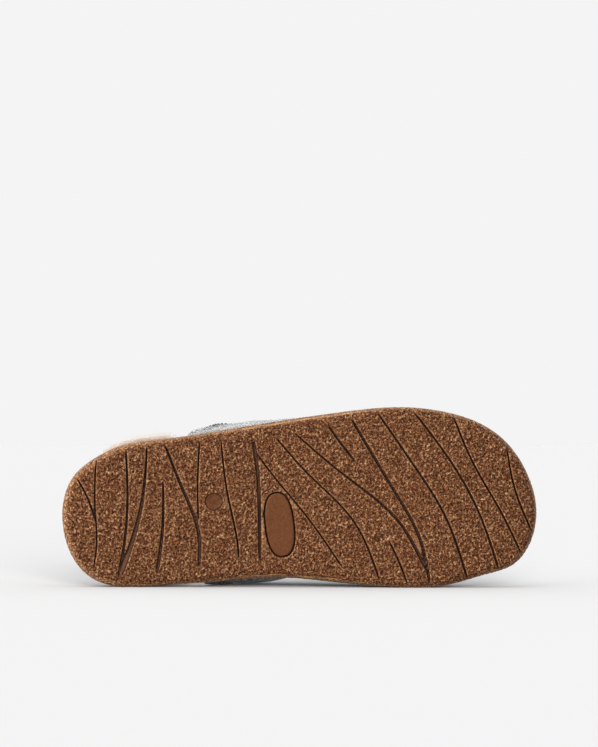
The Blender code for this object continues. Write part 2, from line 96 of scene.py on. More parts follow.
metres_per_pixel = (CAD_HIGH[0] - CAD_LOW[0]) / (TOE_COLUMN - HEEL_COLUMN)
view_x = CAD_LOW[0] + (FRAME_WIDTH / 2 - HEEL_COLUMN) * metres_per_pixel
view_z = (FLOOR_ROW - FRAME_HEIGHT / 2) * metres_per_pixel
camera_data = bpy.data.cameras.new("photo_camera")
camera_data.sensor_width = SENSOR
camera_data.lens = SENSOR * CAMERA_DISTANCE / (FRAME_HEIGHT * metres_per_pixel)
camera = bpy.data.objects.new("photo_camera", camera_data)
camera_place = Matrix.Translation((view_x, CAD_LOW[1] + OUTLINE_DEPTH - CAMERA_DISTANCE, view_z))
level_view = Matrix.Rotation(math.pi / 2, 4, "X")
camera.matrix_world = camera_place @ level_view @ Matrix.Rotation(CAMERA_ROLL, 4, "Z")
bpy.context.scene.collection.objects.link(camera)
bpy.context.scene.camera = camera
print("lens, mm:", round(camera_data.lens, 1), "scale, mm a pixel:", in_mm(metres_per_pixel, 4))

# %% [markdown]
# Helpers for surfaces
# Each piece is a grid of points, a function of two parameters. Faces could be added one by one with bmesh,
# but a grid becomes a mesh in one go: points that fall on the same place are welded, so that poles and
# seams close by themselves, and whole arrays go in with foreach_set.

# %% Grid, weld and mesh
WELD = 0.000001


def grid_quads(rows, columns, closed=False):
    """Corner numbers of a grid's quads, row by row; closed joins the last column to the first."""
    number = np.arange(rows * columns).reshape(rows, columns)
    if closed:
        number = np.concatenate([number, number[:, :1]], axis=1)
    corners = (number[:-1, :-1], number[:-1, 1:], number[1:, 1:], number[1:, :-1])
    return np.stack(corners, axis=-1).reshape(-1, 4)


def welded_mesh(name, points, quads, values=None):
    """Mesh in which points at one place, to within WELD, are one vertex. A quad that loses a corner so
    becomes a triangle, and one that loses two is dropped. values gives a number for each point to each
    named attribute."""
    points = points.reshape(-1, 3)
    place = np.round(points / WELD).astype(np.int64)
    _, first, number = np.unique(place, axis=0, return_index=True, return_inverse=True)
    quads = number.reshape(-1)[quads]
    kept = quads != np.roll(quads, -1, axis=1)
    kept &= (kept.sum(axis=1) > 2)[:, None]
    sizes = kept.sum(axis=1)
    sizes = sizes[sizes > 0]
    mesh = bpy.data.meshes.new(name)
    mesh.vertices.add(len(first))
    mesh.vertices.foreach_set("co", points[first].astype(np.float32).ravel())
    mesh.loops.add(int(sizes.sum()))
    mesh.loops.foreach_set("vertex_index", quads[kept].astype(np.int32))
    mesh.polygons.add(len(sizes))
    mesh.polygons.foreach_set("loop_start", (np.cumsum(sizes) - sizes).astype(np.int32))
    for title, value in (values or {}).items():
        layer = mesh.attributes.new(title, "FLOAT", "POINT")
        layer.data.foreach_set("value", np.asarray(value).ravel()[first].astype(np.float32))
    mesh.update(calc_edges=True)
    mesh.shade_smooth()
    return mesh


def vertex_array(mesh, field="co"):
    """Positions or normals of all vertices as one array."""
    values = np.empty(len(mesh.vertices) * 3, np.float32)
    mesh.vertices.foreach_get(field, values)
    return values.reshape(-1, 3).astype(float)


def set_vertices(mesh, points):
    """Moves all vertices at once."""
    mesh.vertices.foreach_set("co", points.astype(np.float32).ravel())
    mesh.update()


def triangle_array(mesh):
    """Vertex numbers of the triangles that the faces split into."""
    mesh.calc_loop_triangles()
    corners = np.empty(len(mesh.loop_triangles) * 3, np.int32)
    mesh.loop_triangles.foreach_get("vertices", corners)
    return corners.reshape(-1, 3)


def face_outwards(mesh):
    """Turns a closed mesh's faces round if its volume, a sum of signed tetrahedra from the origin, is below
    zero. Returns the volume in cubic metres."""
    a, b, c = vertex_array(mesh)[triangle_array(mesh)].transpose(1, 0, 2)
    volume = np.einsum("ij,ij->", a, np.cross(b, c)) / 6
    if volume < 0:
        mesh.flip_normals()
    return abs(volume)


print("points closer than this are welded, mm:", in_mm(WELD, 3))

# %% [markdown]
# The shoe's own axes
# Sizes are measured along the shoe: s from heel to toe, h from the tread up, w towards the outer side. The
# shoe lies on its side, so its axes are turned in the frame. The turn could be tried out by eye, but the
# frame's two tread mounts, one under the heel and one under the ball, lie at known places of that plan.
# Their positions and the tread's axis give the turn exactly.

# %% Turn from shoe to frame
HEEL_TREAD = np.array([0.066, -0.015])
BALL_TREAD = np.array([0.189, 0.020])


def shoe_to_frame(mounts):
    """Matrix whose columns are the axes s, h and w in the frame: h is opposite to the tread's outward axis,
    and the line between the mounts, turned back by its known angle in the shoe's plan, is s."""
    heel, ball = (np.array(mounts[name]["pos_m"]) for name in ("heel_tread", "ball_tread"))
    up = -np.array(mounts["heel_tread"]["axis"])
    up /= np.linalg.norm(up)
    onward = (ball - heel) - up * np.dot(ball - heel, up)
    onward /= np.linalg.norm(onward)
    across = np.cross(onward, up)
    run, shift = BALL_TREAD - HEEL_TREAD
    turn = math.atan2(shift, run)
    along = math.cos(turn) * onward - math.sin(turn) * across
    outward = math.sin(turn) * onward + math.cos(turn) * across
    axes = np.stack([along, up, outward], axis=1)
    place = np.eye(4)
    place[:3, :3] = axes
    place[:3, 3] = heel - axes @ (HEEL_TREAD[0], 0, HEEL_TREAD[1])
    return Matrix(place.tolist())


SHOE_TO_FRAME = shoe_to_frame({mount["name"]: mount for mount in frame["record"]["mounts"]})
print("lean of the tread, degrees:", round(math.degrees(math.asin(SHOE_TO_FRAME[2][1])), 3))

# %% [markdown]
# Laying a piece in the frame
# A finished piece keeps its place in its mesh, so that its object can sit at the origin and a pattern on
# object coordinates stays put. What would reach below the floor, such as hairs under the shoe, is pressed
# flat on it. Two collections say which pieces a light reaches: all pieces of the shoe, and those that the
# key light falls on.

# %% Piece on the body, with its nodes
FLOOR_CLEARANCE = 0.0001
SHOE_PIECES = bpy.data.collections.new("shoe_pieces")
KEY_PIECES = bpy.data.collections.new("key_pieces")


def lay_in_frame(mesh):
    """Lays a mesh made in shoe sizes in the frame and presses what would reach below the floor flat on
    it."""
    mesh.transform(SHOE_TO_FRAME)
    points = vertex_array(mesh)
    points[:, 2] = np.maximum(points[:, 2], FLOOR_CLEARANCE)
    set_vertices(mesh, points)


def add_piece(mesh, material, slot, *nodes, in_key=True):
    """Object at the frame's origin, of a mesh made in shoe sizes. It rides on the one body and may stand for
    nodes, which are hidden. The slot is not used. A piece that is not in_key is left out of the key light."""
    lay_in_frame(mesh)
    mesh.materials.append(material)
    piece = bpy.data.objects.new(mesh.name, mesh)
    bpy.context.scene.collection.objects.link(piece)
    SHOE_PIECES.objects.link(piece)
    if in_key:
        KEY_PIECES.objects.link(piece)
    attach(piece, "root")
    if nodes:
        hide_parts(*nodes)
    print(mesh.name, "triangles:", len(triangle_array(mesh)))
    return piece


print("clearance over the floor, mm:", in_mm(FLOOR_CLEARANCE))

# %% [markdown]
# The last's plan
# A shoe is built round a last, a wooden foot. Its plan is two edge curves, outer and inner, either side of
# the line from heel to toe. A traced outline would need many points. A smooth curve through a few half
# widths gives each edge instead, with the places spread by an angle that runs evenly round both ends. All
# pieces, from sole to upper, are insets of this one outline.

# %% Smooth curves
def smooth_curve(knots, values):
    """Natural cubic through the values at the knots, as a function of an array."""
    knots, values = np.asarray(knots, float), np.asarray(values, float)
    step = np.diff(knots)
    slope = np.diff(values) / step
    system = np.eye(len(knots))
    right = np.zeros(len(knots))
    for row in range(1, len(knots) - 1):
        system[row, row - 1:row + 2] = step[row - 1], 2 * (step[row - 1] + step[row]), step[row]
        right[row] = 6 * (slope[row] - slope[row - 1])
    bend = np.linalg.solve(system, right)

    def curve(place):
        place = np.clip(np.asarray(place, float), knots[0], knots[-1])
        left = np.clip(np.searchsorted(knots, place) - 1, 0, len(step) - 1)
        before, after = place - knots[left], knots[left + 1] - place
        cubic = (bend[left] * after ** 3 + bend[left + 1] * before ** 3) / (6 * step[left])
        start = (values[left] / step[left] - bend[left] * step[left] / 6) * after
        end = (values[left + 1] / step[left] - bend[left + 1] * step[left] / 6) * before
        return cubic + start + end

    return curve


def column_curve(table, column):
    """Smooth curve of one column of a table over its along column."""
    return smooth_curve([row.along for row in table], [getattr(row, column) for row in table])


def ramp(place, start, end):
    """Smooth step from 0 at start to 1 at end: 3 t squared minus 2 t cubed."""
    share = np.clip((np.asarray(place, float) - start) / (end - start), 0, 1)
    return share * share * (3 - 2 * share)


def running_length(points):
    """Distance along a line of points from its first one: the running sum of its chords."""
    return np.concatenate([[0], np.cumsum(np.linalg.norm(np.diff(points, axis=0), axis=1))])


print("a smooth step half way up:", float(ramp(0.5, 0, 1)))

# %% Outline of the sole
LENGTH = 0.262
BALL_WIDTH = 0.0995
SPINE_SPAN = (0.036, 0.226)
CHORDS = 4000

# Share of LENGTH, then half widths as shares of BALL_WIDTH
OutlineRow = namedtuple("OutlineRow", "along outer inner")
OUTLINE = [OutlineRow(*row) for row in (
    (0.000, 0.000, 0.000),
    (0.022, 0.208, 0.236),
    (0.0645, 0.3085, 0.353),
    (0.1275, 0.386, 0.397),
    (0.229, 0.425, 0.386),
    (0.330, 0.464, 0.370),
    (0.458, 0.5175, 0.352),
    (0.583, 0.564, 0.381),
    (0.706, 0.5925, 0.406),
    (0.8015, 0.568, 0.399),
    (0.887, 0.4915, 0.342),
    (0.950, 0.353, 0.2865),
    (0.984, 0.197, 0.181),
    (1.000, 0.000, 0.000),
)]


def round_ends(along):
    """Angle that runs evenly round both ends of the outline: arccos of 1 minus twice the share of the
    length."""
    return np.arccos(np.clip(1 - 2 * np.asarray(along, float), -1, 1))


OUTLINE_ANGLES = [float(round_ends(row.along)) for row in OUTLINE]
OUTER_EDGE = smooth_curve(OUTLINE_ANGLES, [row.outer * BALL_WIDTH for row in OUTLINE])
INNER_EDGE = smooth_curve(OUTLINE_ANGLES, [row.inner * BALL_WIDTH for row in OUTLINE])


def by_side(side, outer, inner):
    """Outer value where side is +1, inner value where it is -1."""
    return np.where(np.asarray(side) > 0, outer, inner)


def edge_plan(along, side):
    """Plan points (s, w) of the sole's outline."""
    angle = round_ends(along)
    across = by_side(side, OUTER_EDGE(angle), -INNER_EDGE(angle))
    return np.stack(np.broadcast_arrays(np.asarray(along) * LENGTH, across), axis=-1)


def spine_plan(along, share=0.5):
    """Plan points on a line between the two edges, stopped short of heel and toe."""
    place = np.clip(np.asarray(along) * LENGTH, *SPINE_SPAN)
    angle = round_ends(place / LENGTH)
    return np.stack([place, share * OUTER_EDGE(angle) - (1 - share) * INNER_EDGE(angle)], axis=-1)


def inward_plan(along, side):
    """Unit vectors in plan from the outline to the spine."""
    inward = spine_plan(along) - edge_plan(along, side)
    return inward / np.linalg.norm(inward, axis=-1, keepdims=True)


def inset_plan(along, side, inset):
    """Outline moved towards the spine by inset, or away from it where inset is below zero."""
    return edge_plan(along, side) + inward_plan(along, side) * np.asarray(inset)[..., None]


def share_plan(along, side, share, inset):
    """Points a share of the way from the spine to the outline's inset line."""
    spine = spine_plan(along)
    return spine + (inset_plan(along, side, inset) - spine) * np.asarray(share)[..., None]


def solid_points(plan, height):
    """Shoe points (s, h, w) from plan points and heights."""
    height = np.broadcast_to(height, plan.shape[:-1])
    return np.stack([plan[..., 0], height, plan[..., 1]], axis=-1)


def ring_stations(count):
    """Shares of the length at even steps of the outline, along the outer side and back along the inner
    side. The length of the outline is the running sum of short chords, the mean of both sides."""
    fine = (1 - np.cos(np.linspace(0, np.pi, CHORDS + 1))) / 2
    chords = [np.linalg.norm(np.diff(edge_plan(fine, side), axis=0), axis=1) for side in (1, -1)]
    reach = np.concatenate([[0], np.cumsum(np.mean(chords, axis=0))])
    even = np.interp(np.linspace(0, reach[-1], count + 1), reach, fine)
    along = np.concatenate([even, even[-2:0:-1]])
    side = np.concatenate([np.ones(count + 1), -np.ones(count - 1)])
    return along, side


outline_widths = OUTER_EDGE(OUTLINE_ANGLES) + INNER_EDGE(OUTLINE_ANGLES)
print("widest across the ball, mm:", in_mm(outline_widths.max(), 1))

# %% [markdown]
# Outsole, first its plain form
# The real sole is one moulding of rubber crumb: flat treads under heel and ball, a slight arch, a toe that
# springs up, and a soft round edge. It could be sculpted, but a ring grid is exact and even: rows run from
# the middle of the tread out to the edge, round the bevel, up the wall, over the shoulder and back in under
# the footbed. Each row also keeps the way it faces, as an angle from 0, down, through a quarter turn,
# outwards, to a half turn, up.

# %% Heights of the sole
HEEL_LIFT = 0.0015
HEEL_LIFT_END = 0.025
ARCH_RISE = 0.0012
ARCH_SPAN = (0.085, 0.160)
TOE_SPRING = 0.008
TOE_SPRING_START = 0.205

SeatRow = namedtuple("SeatRow", "along height")
SEAT = [SeatRow(*row) for row in (
    (0.00, 0.0220),
    (0.23, 0.0220),
    (0.46, 0.0186),
    (0.69, 0.0162),
    (0.86, 0.0170),
    (1.00, 0.0195),
)]
SEAT_HEIGHT = column_curve(SEAT, "height")


def seat_height(place):
    """Height of the sole's top at a place along the shoe."""
    return SEAT_HEIGHT(np.asarray(place) / LENGTH)


def tread_rise(place):
    """Height of the tread: a square law at the heel's end, a squared sine at the arch, a square law at the
    toe."""
    place = np.asarray(place, float)
    heel = HEEL_LIFT * np.clip(1 - place / HEEL_LIFT_END, 0, 1) ** 2
    arch_share = np.clip((place - ARCH_SPAN[0]) / (ARCH_SPAN[1] - ARCH_SPAN[0]), 0, 1)
    arch = ARCH_RISE * np.sin(np.pi * arch_share) ** 2
    toe_share = np.clip((place - TOE_SPRING_START) / (LENGTH - TOE_SPRING_START), 0, 1)
    return heel + arch + TOE_SPRING * toe_share ** 2


print("sole at heel and ball, mm thick:", in_mm(seat_height(np.array([HEEL_TREAD[0], BALL_TREAD[0]])), 1))

# %% Rows of the outsole
EDGE_BEVEL = 0.005
EDGE_BEVEL_HEIGHT = 0.006
WAIST_LIP = 0.0006
WAIST_LIP_SPAN = (0.080, 0.175)
WAIST_LIP_RUN = 0.02
WAIST_LIP_HEIGHT = 0.0012
SEAT_SHOULDER = 0.0014
WALL_LEAN = 0.00035
SOLE_STATIONS = 520
TREAD_ROWS = 60
BEVEL_ROWS = 16
WALL_ROWS = 10
SHOULDER_ROWS = 3
SEAT_SHARES = np.array([0.96, 0.9, 0.5, 0.0])


def waist_share(place):
    """1 along the waist, falling smoothly to 0 at both of its ends."""
    start, end = WAIST_LIP_SPAN
    return ramp(place, start, start + WAIST_LIP_RUN) * ramp(place, end, end - WAIST_LIP_RUN)


def sole_rows(along, side):
    """Plan points, heights and facing angles of the sole's rows. The bevel is a quarter ellipse, the wall
    leans in a little, the shoulder is a quarter circle."""
    lip = WAIST_LIP * waist_share(along * LENGTH)
    share = np.linspace(0, 1, TREAD_ROWS)[:, None]
    tread = share_plan(along, side, share, EDGE_BEVEL)
    turn = np.linspace(0, np.pi / 2, BEVEL_ROWS + 1)[1:, None]
    bevel = inset_plan(along, side, lip + (EDGE_BEVEL - lip) * (1 - np.sin(turn)))
    rise = np.linspace(0, 1, WALL_ROWS)[:, None]
    wall = inset_plan(along, side, WALL_LEAN * rise + 0 * along)
    foot = tread_rise(wall[..., 0]) + EDGE_BEVEL_HEIGHT + WAIST_LIP_HEIGHT
    wall_height = foot + (seat_height(wall[..., 0]) - SEAT_SHOULDER - foot) * rise
    over = np.linspace(0, np.pi / 2, SHOULDER_ROWS + 1)[1:, None]
    shoulder_inset = WALL_LEAN + (SEAT_SHOULDER - WALL_LEAN) * (1 - np.cos(over))
    shoulder = inset_plan(along, side, shoulder_inset + 0 * along)
    seat = share_plan(along, side, SEAT_SHARES[:, None], SEAT_SHOULDER)
    plan = np.concatenate([tread, bevel, wall, shoulder, seat])
    height = np.concatenate([
        tread_rise(tread[..., 0]),
        tread_rise(bevel[..., 0]) + EDGE_BEVEL_HEIGHT * (1 - np.cos(turn)),
        wall_height,
        seat_height(shoulder[..., 0]) - SEAT_SHOULDER * (1 - np.sin(over)),
        seat_height(seat[..., 0]),
    ])
    facing = np.concatenate([
        0 * share,
        turn,
        0 * rise + np.pi / 2,
        np.pi / 2 + over,
        0 * SEAT_SHARES[:, None] + np.pi,
    ])
    return plan, height, facing


sole_along, sole_side = ring_stations(SOLE_STATIONS)
sole_plan, sole_height, sole_facing = sole_rows(sole_along, sole_side)
print("outsole grid:", sole_plan.shape[:2], "height, mm:", in_mm([sole_height.min(), sole_height.max()]))

# %% [markdown]
# Tread grooves
# The mould has crooked ribs that leave narrow grooves, like grain in a plank, a ring-shaped rib for the
# oval panel and a round stud for the recess. Cutting them with Booleans would break up the even grid.
# Instead each groove is a smooth track through a few listed points, and each point of the grid
# learns its distance to the edge of the nearest one.

# %% Groove paths
GROOVE_DEPTH = 0.0017
# Distance from a groove's end at which its depth is nothing, past the end, and at which it is full
GROOVE_RUNOUT = (-0.0016, 0.004)
END_WIDTH = 0.5
TRACK_STEP = 0.0002
PANEL_CENTRE = np.array([0.1200, -0.0054])
PANEL_HALF = np.array([0.0080, 0.0178])
PANEL_POWER = 2.5
PANEL_TURN = math.radians(6.4)
PANEL_RIM_WIDTH = 0.0010
PANEL_POINTS = 1600
RECESS_CENTRE = np.array([0.0838, 0.0075])
RECESS_RADIUS = 0.005
RECESS_DEPTH = 0.0006

# Width in metres at the first and at the last point, then points as shares of LENGTH and of BALL_WIDTH
Groove = namedtuple("Groove", "first last path")
GROOVES = [Groove(*row) for row in (
    (0.0010, 0.0010, ((0.0727, 0.311), (0.070, 0.048), (0.073, -0.156), (0.0667, -0.283))),
    (0.0011, 0.0012, ((0.032, 0.208), (0.056, 0.090), (0.070, -0.023))),
    (0.0012, 0.0018, ((0.1353, 0.367), (0.1383, 0.095), (0.132, -0.138), (0.1187, -0.333))),
    (0.0010, 0.0034, ((0.180, 0.389), (0.1693, 0.083), (0.145, -0.165), (0.1215, -0.333))),
    (0.0012, 0.0023, ((0.2131, 0.189), (0.2117, -0.080), (0.1995, -0.314))),
    (0.0014, 0.0023, ((0.2176, 0.3925), (0.2587, 0.120), (0.2873, -0.093), (0.288, -0.279))),
    (0.0010, 0.0010, ((0.2904, 0.411), (0.286, 0.111), (0.2875, -0.023))),
    (0.0010, 0.0012, ((0.3357, 0.409), (0.3493, 0.111), (0.370, -0.173), (0.3718, -0.237))),
    (0.0024, 0.0018, ((0.4035, 0.411), (0.4122, 0.235), (0.4152, 0.066), (0.4163, -0.245))),
    (0.0010, 0.0010, ((0.4035, 0.367), (0.448, 0.208), (0.515, -0.009), (0.590, -0.295))),
    (0.0010, 0.0012, ((0.451, 0.429), (0.526, 0.207), (0.609, -0.019), (0.668, -0.365))),
    (0.0009, 0.0020, ((0.490, 0.454), (0.597, 0.215), (0.713, -0.055), (0.7424, -0.181), (0.766, -0.307))),
    (0.0016, 0.0019, ((0.6116, 0.523), (0.705, 0.1075), (0.752, -0.128), (0.773, -0.380))),
    (0.0014, 0.0014, ((0.5605, 0.497), (0.5922, 0.380), (0.617, 0.2975))),
    (0.0011, 0.0011, ((0.688, -0.146), (0.710, -0.270), (0.7268, -0.390))),
    (0.0012, 0.0014, ((0.6655, 0.563), (0.746, 0.252), (0.806, -0.009), (0.8528, -0.363))),
    (0.0012, 0.0015, ((0.7406, 0.570), (0.8172, 0.2975), (0.8756, 0.018), (0.9187, -0.3075))),
    (0.0012, 0.0013, ((0.825, 0.538), (0.8647, 0.288), (0.9244, 0.008), (0.9656, -0.217))),
    (0.0011, 0.0013, ((0.9375, 0.361), (0.9508, 0.162), (0.9894, -0.100))),
)]


def groove_track(groove):
    """Fine points on a smooth curve through a groove's own points, with half widths and depths that fade at
    the ends."""
    knots = np.array(groove.path) * (LENGTH, BALL_WIDTH)
    reach = running_length(knots)
    place = np.arange(0, reach[-1], TRACK_STEP)
    plan = np.stack([smooth_curve(reach, knots[:, axis])(place) for axis in (0, 1)], axis=-1)
    fade = ramp(np.minimum(place, reach[-1] - place), *GROOVE_RUNOUT)
    width = groove.first + (groove.last - groove.first) * place / reach[-1]
    return plan, width / 2 * (END_WIDTH + (1 - END_WIDTH) * fade), GROOVE_DEPTH * fade


def panel_track():
    """Fine points of the oval panel's rim, a turned superellipse, of one width and depth all round."""
    angle = np.linspace(0, 2 * np.pi, PANEL_POINTS)
    wave = np.stack([np.cos(angle), np.sin(angle)])
    across, up = PANEL_HALF[:, None] * np.sign(wave) * np.abs(wave) ** (2 / PANEL_POWER)
    turned = (across * math.cos(PANEL_TURN) - up * math.sin(PANEL_TURN),
              across * math.sin(PANEL_TURN) + up * math.cos(PANEL_TURN))
    plan = PANEL_CENTRE + np.stack(turned, axis=-1)
    return plan, np.full(len(angle), PANEL_RIM_WIDTH / 2), np.full(len(angle), GROOVE_DEPTH)


def recess_track():
    """The round recess as a very wide groove round one point, as shallow as the recess."""
    plan = RECESS_CENTRE + np.array([[0.0, 0.0], [WELD, 0.0]])
    return plan, np.full(2, RECESS_RADIUS), np.full(2, RECESS_DEPTH)


TRACKS = [groove_track(groove) for groove in GROOVES] + [panel_track(), recess_track()]
print("grooves:", len(GROOVES), "points on the longest track:", max(len(track[0]) for track in TRACKS))

# %% Distance to the grooves
GROOVE_REACH = 0.003


def nearest_groove(plan):
    """For every plan point the signed distance to the nearest groove's edge (below zero inside), the unit
    vector away from that groove's middle line, its half width and its depth. The foot of each point is
    found on the nearest piece of track."""
    plan = plan.reshape(-1, 2)
    edge = np.full(len(plan), GROOVE_REACH)
    away = np.zeros_like(plan)
    half_width = np.full(len(plan), PANEL_RIM_WIDTH)
    depth = np.zeros(len(plan))
    for track, half, deep in TRACKS:
        margin = half.max() + GROOVE_REACH
        low, high = track.min(axis=0) - margin, track.max(axis=0) + margin
        near = np.flatnonzero(np.all((plan > low) & (plan < high), axis=1))
        squares = np.sum(track ** 2, axis=1) - 2 * plan[near] @ track.T
        number = np.argmin(squares, axis=1)
        onward = np.gradient(track, axis=0)
        onward = (onward / np.linalg.norm(onward, axis=1, keepdims=True))[number]
        offset = plan[near] - track[number]
        slip = np.clip(np.sum(offset * onward, axis=1), -TRACK_STEP / 2, TRACK_STEP / 2)
        offset -= onward * slip[:, None]
        distance = np.linalg.norm(offset, axis=1)
        closer = distance - half[number] < edge[near]
        near, number, distance = near[closer], number[closer], distance[closer]
        edge[near] = distance - half[number]
        away[near] = offset[closer] / np.maximum(distance, WELD)[:, None]
        half_width[near] = half[number]
        depth[near] = deep[number]
    return edge, away, half_width, depth


tread_part = TREAD_ROWS + BEVEL_ROWS
groove_edge, groove_away, groove_half, groove_depth = nearest_groove(sole_plan[:tread_part])
print("points near a groove:", int(np.count_nonzero(groove_edge < GROOVE_REACH)))

# %% [markdown]
# Drawing the grid in to the grooves
# A moulded groove has steep walls, much narrower than the steps of an even grid, so its edges would come
# out jagged. A finer grid would cost many times the points. Instead points near an edge slide sideways on
# to it: on to the floor's edge, the top edge and the rounded shoulder beside it, whose colour is later
# painted lighter as a painted highlight. Walls then stay crisp with the points there are.

# %% Slide points to the groove edges and press the floors in
# Distance to a groove's edge before and after the pull: floor edge, top edge, shoulder, its crown, unmoved
PULL_FROM = np.array([-0.00045, 0.00012, 0.00018, 0.00072, 0.00078, 0.00132, 0.00138, 0.00192, 0.0029])
PULL_TO = np.array([-0.00018, -0.00014, -0.00003, 0.00003, 0.00027, 0.00035, 0.00072, 0.00084, 0.0029])
GROOVE_WALL = 0.00015
# Top and foot of a groove's wall, inwards from its edge, as shares of GROOVE_WALL
WALL_TOP = 0.1
WALL_FOOT = 0.9
GROOVE_SHOULDER = 0.0010
GROOVE_SHOULDER_DROP = 0.00034
# Span over which a groove's shoulder is calmed and painted lighter, a painted highlight on the groove's edge
SHOULDER_CALM_AND_HIGHLIGHT_SPAN = (0.0007, 0.00015)
# Painted shade: the colour is darkened at groove edges where the walls shade the floor, less in the middle of
# wide grooves and more in deep ones.
DARK_EDGE = 0.00013
DARK_MIDDLE_SPAN = (0.0005, 0.0009)
DARK_MIDDLE_FADE = 0.9
DARK_BY_DEPTH = 2.4


def pulled_edge(edge, half_width):
    """Steps that gather distances at the floor's edge, the top edge and the shoulder. From a groove's
    middle line to the first step, the distance is scaled so that the middle stays."""
    first, target = PULL_FROM[0], PULL_TO[0]
    inside = -half_width + (edge + half_width) * (target + half_width) / np.maximum(first + half_width, WELD)
    return np.where(edge < first, np.minimum(inside, target), np.interp(edge, PULL_FROM, PULL_TO))


flat_share = (np.cos(sole_facing[:tread_part]) ** 2 + 0 * sole_along).ravel()
pull = (pulled_edge(groove_edge, groove_half) - groove_edge) * flat_share
pull[groove_edge >= GROOVE_REACH - WELD] = 0
moved = sole_plan[:tread_part].reshape(-1, 2) + groove_away * pull[:, None]
groove_edge = groove_edge + pull
sole_plan[:tread_part] = moved.reshape(tread_part, -1, 2)
sole_height[:TREAD_ROWS] = tread_rise(sole_plan[:TREAD_ROWS, :, 0])
full_depth = groove_depth / GROOVE_DEPTH
groove_floor = ramp(groove_edge, -WALL_TOP * GROOVE_WALL, -WALL_FOOT * GROOVE_WALL)
drop = GROOVE_SHOULDER_DROP * full_depth * np.clip(1 - groove_edge / GROOVE_SHOULDER, 0, 1) ** 2
press = (groove_floor * groove_depth + (1 - groove_floor) * drop).reshape(tread_part, -1)
# Shoulder mask: the crumb is calmed there and the colour is painted lighter, a painted highlight on the
# groove's edge.
shoulder_calm_and_highlight = ramp(groove_edge, *SHOULDER_CALM_AND_HIGHLIGHT_SPAN) * full_depth
# Painted shade along the groove edges, where the walls stand in shade.
groove_dark = ramp(groove_edge, 0.0, -DARK_EDGE)
groove_dark = groove_dark * (1 - DARK_MIDDLE_FADE * ramp(-groove_edge, *DARK_MIDDLE_SPAN))
groove_dark = groove_dark * np.minimum(1, DARK_BY_DEPTH * full_depth)
print("points drawn in:", int(np.count_nonzero(pull)), "deepest groove, mm:", in_mm(press.max()))

# %% [markdown]
# Crumb relief, oval panel and recess
# Pressed rubber crumb leaves a wormy skin of ridges about two millimetres apart. A displacement texture
# could give it, but a sum of many waves of one length in random directions is exactly that pattern, and
# numpy knows its value at every point. The relief fades in the grooves and on the bare oval panel and round
# recess, which the mould left smoother. It is stored on the points as well, so that the colour can follow
# the same ridges.

# %% Waves, and places that the mould left smooth
Waves = namedtuple("Waves", "length spread count seed")
TREAD_COSINE = 0.5
PANEL_EDGE = (1.02, 0.96)
# The rim, a band of the sole's edge picked by facing angle, is calmed and painted lighter as painted
# highlight; at the heel it reaches further down the bevel.
RIM_FACING = (0.60, 1.10)
HEEL_RIM_FACING = (0.15, 0.75)
HEEL_RIM_RUN = (0.070, 0.020)
RIM_TOP_FACING = (2.2, 1.6)
SEAT_POWER = 8


def wave_field(points, waves):
    """Even random relief of unit variance: the sum of cosine waves that run in random directions, with
    lengths scattered round one length."""
    draw = np.random.default_rng(waves.seed)
    direction = draw.normal(size=(waves.count, points.shape[-1]))
    direction /= np.linalg.norm(direction, axis=1, keepdims=True)
    length = waves.length * np.exp(waves.spread * draw.normal(size=waves.count))
    phase = draw.uniform(0, 2 * np.pi, waves.count)
    total = np.zeros(points.shape[:-1])
    for vector, start in zip(direction * 2 * np.pi / length[:, None], phase):
        total += np.cos(points @ vector + start)
    return total * math.sqrt(2 / waves.count)


def oval_share(plan):
    """Distance from the panel's middle as a share of its half size, by the superellipse's power: below 1
    inside."""
    offset = plan - PANEL_CENTRE
    across = offset[..., 0] * math.cos(PANEL_TURN) + offset[..., 1] * math.sin(PANEL_TURN)
    up = offset[..., 1] * math.cos(PANEL_TURN) - offset[..., 0] * math.sin(PANEL_TURN)
    share = np.abs(across / PANEL_HALF[0]) ** PANEL_POWER + np.abs(up / PANEL_HALF[1]) ** PANEL_POWER
    return share ** (1 / PANEL_POWER)


def on_grid(values):
    """Values of the tread's points as a grid of the whole outsole, zero elsewhere."""
    grid = np.zeros(sole_height.shape)
    grid[:tread_part] = np.reshape(values, (tread_part, -1))
    return grid


def smooth_places():
    """How far each point of the outsole belongs to each place that is smoother than the tread, from 0 to
    1."""
    on_tread = np.cos(sole_facing) > TREAD_COSINE
    from_recess = np.linalg.norm(sole_plan - RECESS_CENTRE, axis=-1)
    panel = on_tread * ramp(oval_share(sole_plan), *PANEL_EDGE)
    recess = on_tread * ramp(from_recess, RECESS_RADIUS, RECESS_RADIUS - GROOVE_WALL)
    heel_rim = ramp(sole_along * LENGTH, *HEEL_RIM_RUN)
    start, end = (rest + (heel - rest) * heel_rim for rest, heel in zip(RIM_FACING, HEEL_RIM_FACING))
    return {
        "shoulder": on_grid(shoulder_calm_and_highlight * (1 - groove_floor)) * (1 - panel),
        "groove": on_grid(groove_floor * full_depth) * (1 - recess),
        "panel": panel,
        "recess": recess,
        # Rim: calmed crumb, and colour painted lighter as painted highlight.
        "rim": ramp(sole_facing, start, end) * ramp(sole_facing, *RIM_TOP_FACING),
        "seat": np.sin(sole_facing / 2) ** SEAT_POWER,
    }


smooth = smooth_places()
smooth_means = {name: round(float(value.mean()), 3) for name, value in smooth.items()}
print("share of points on smooth places:", smooth_means)

# %% Relief along the facing direction
CRUMB_WAVES = Waves(length=0.0019, spread=0.22, count=120, seed=7)
CRUMB_HEIGHT = 0.00016
CRUMB_STEEPNESS = 1.1
PANEL_DEPTH = 0.0004
# How much of the crumb each place takes away
CALMED = {"shoulder": 0.5, "groove": 0.7, "panel": 0.88, "recess": 0.8, "rim": 0.25, "seat": 0.9}

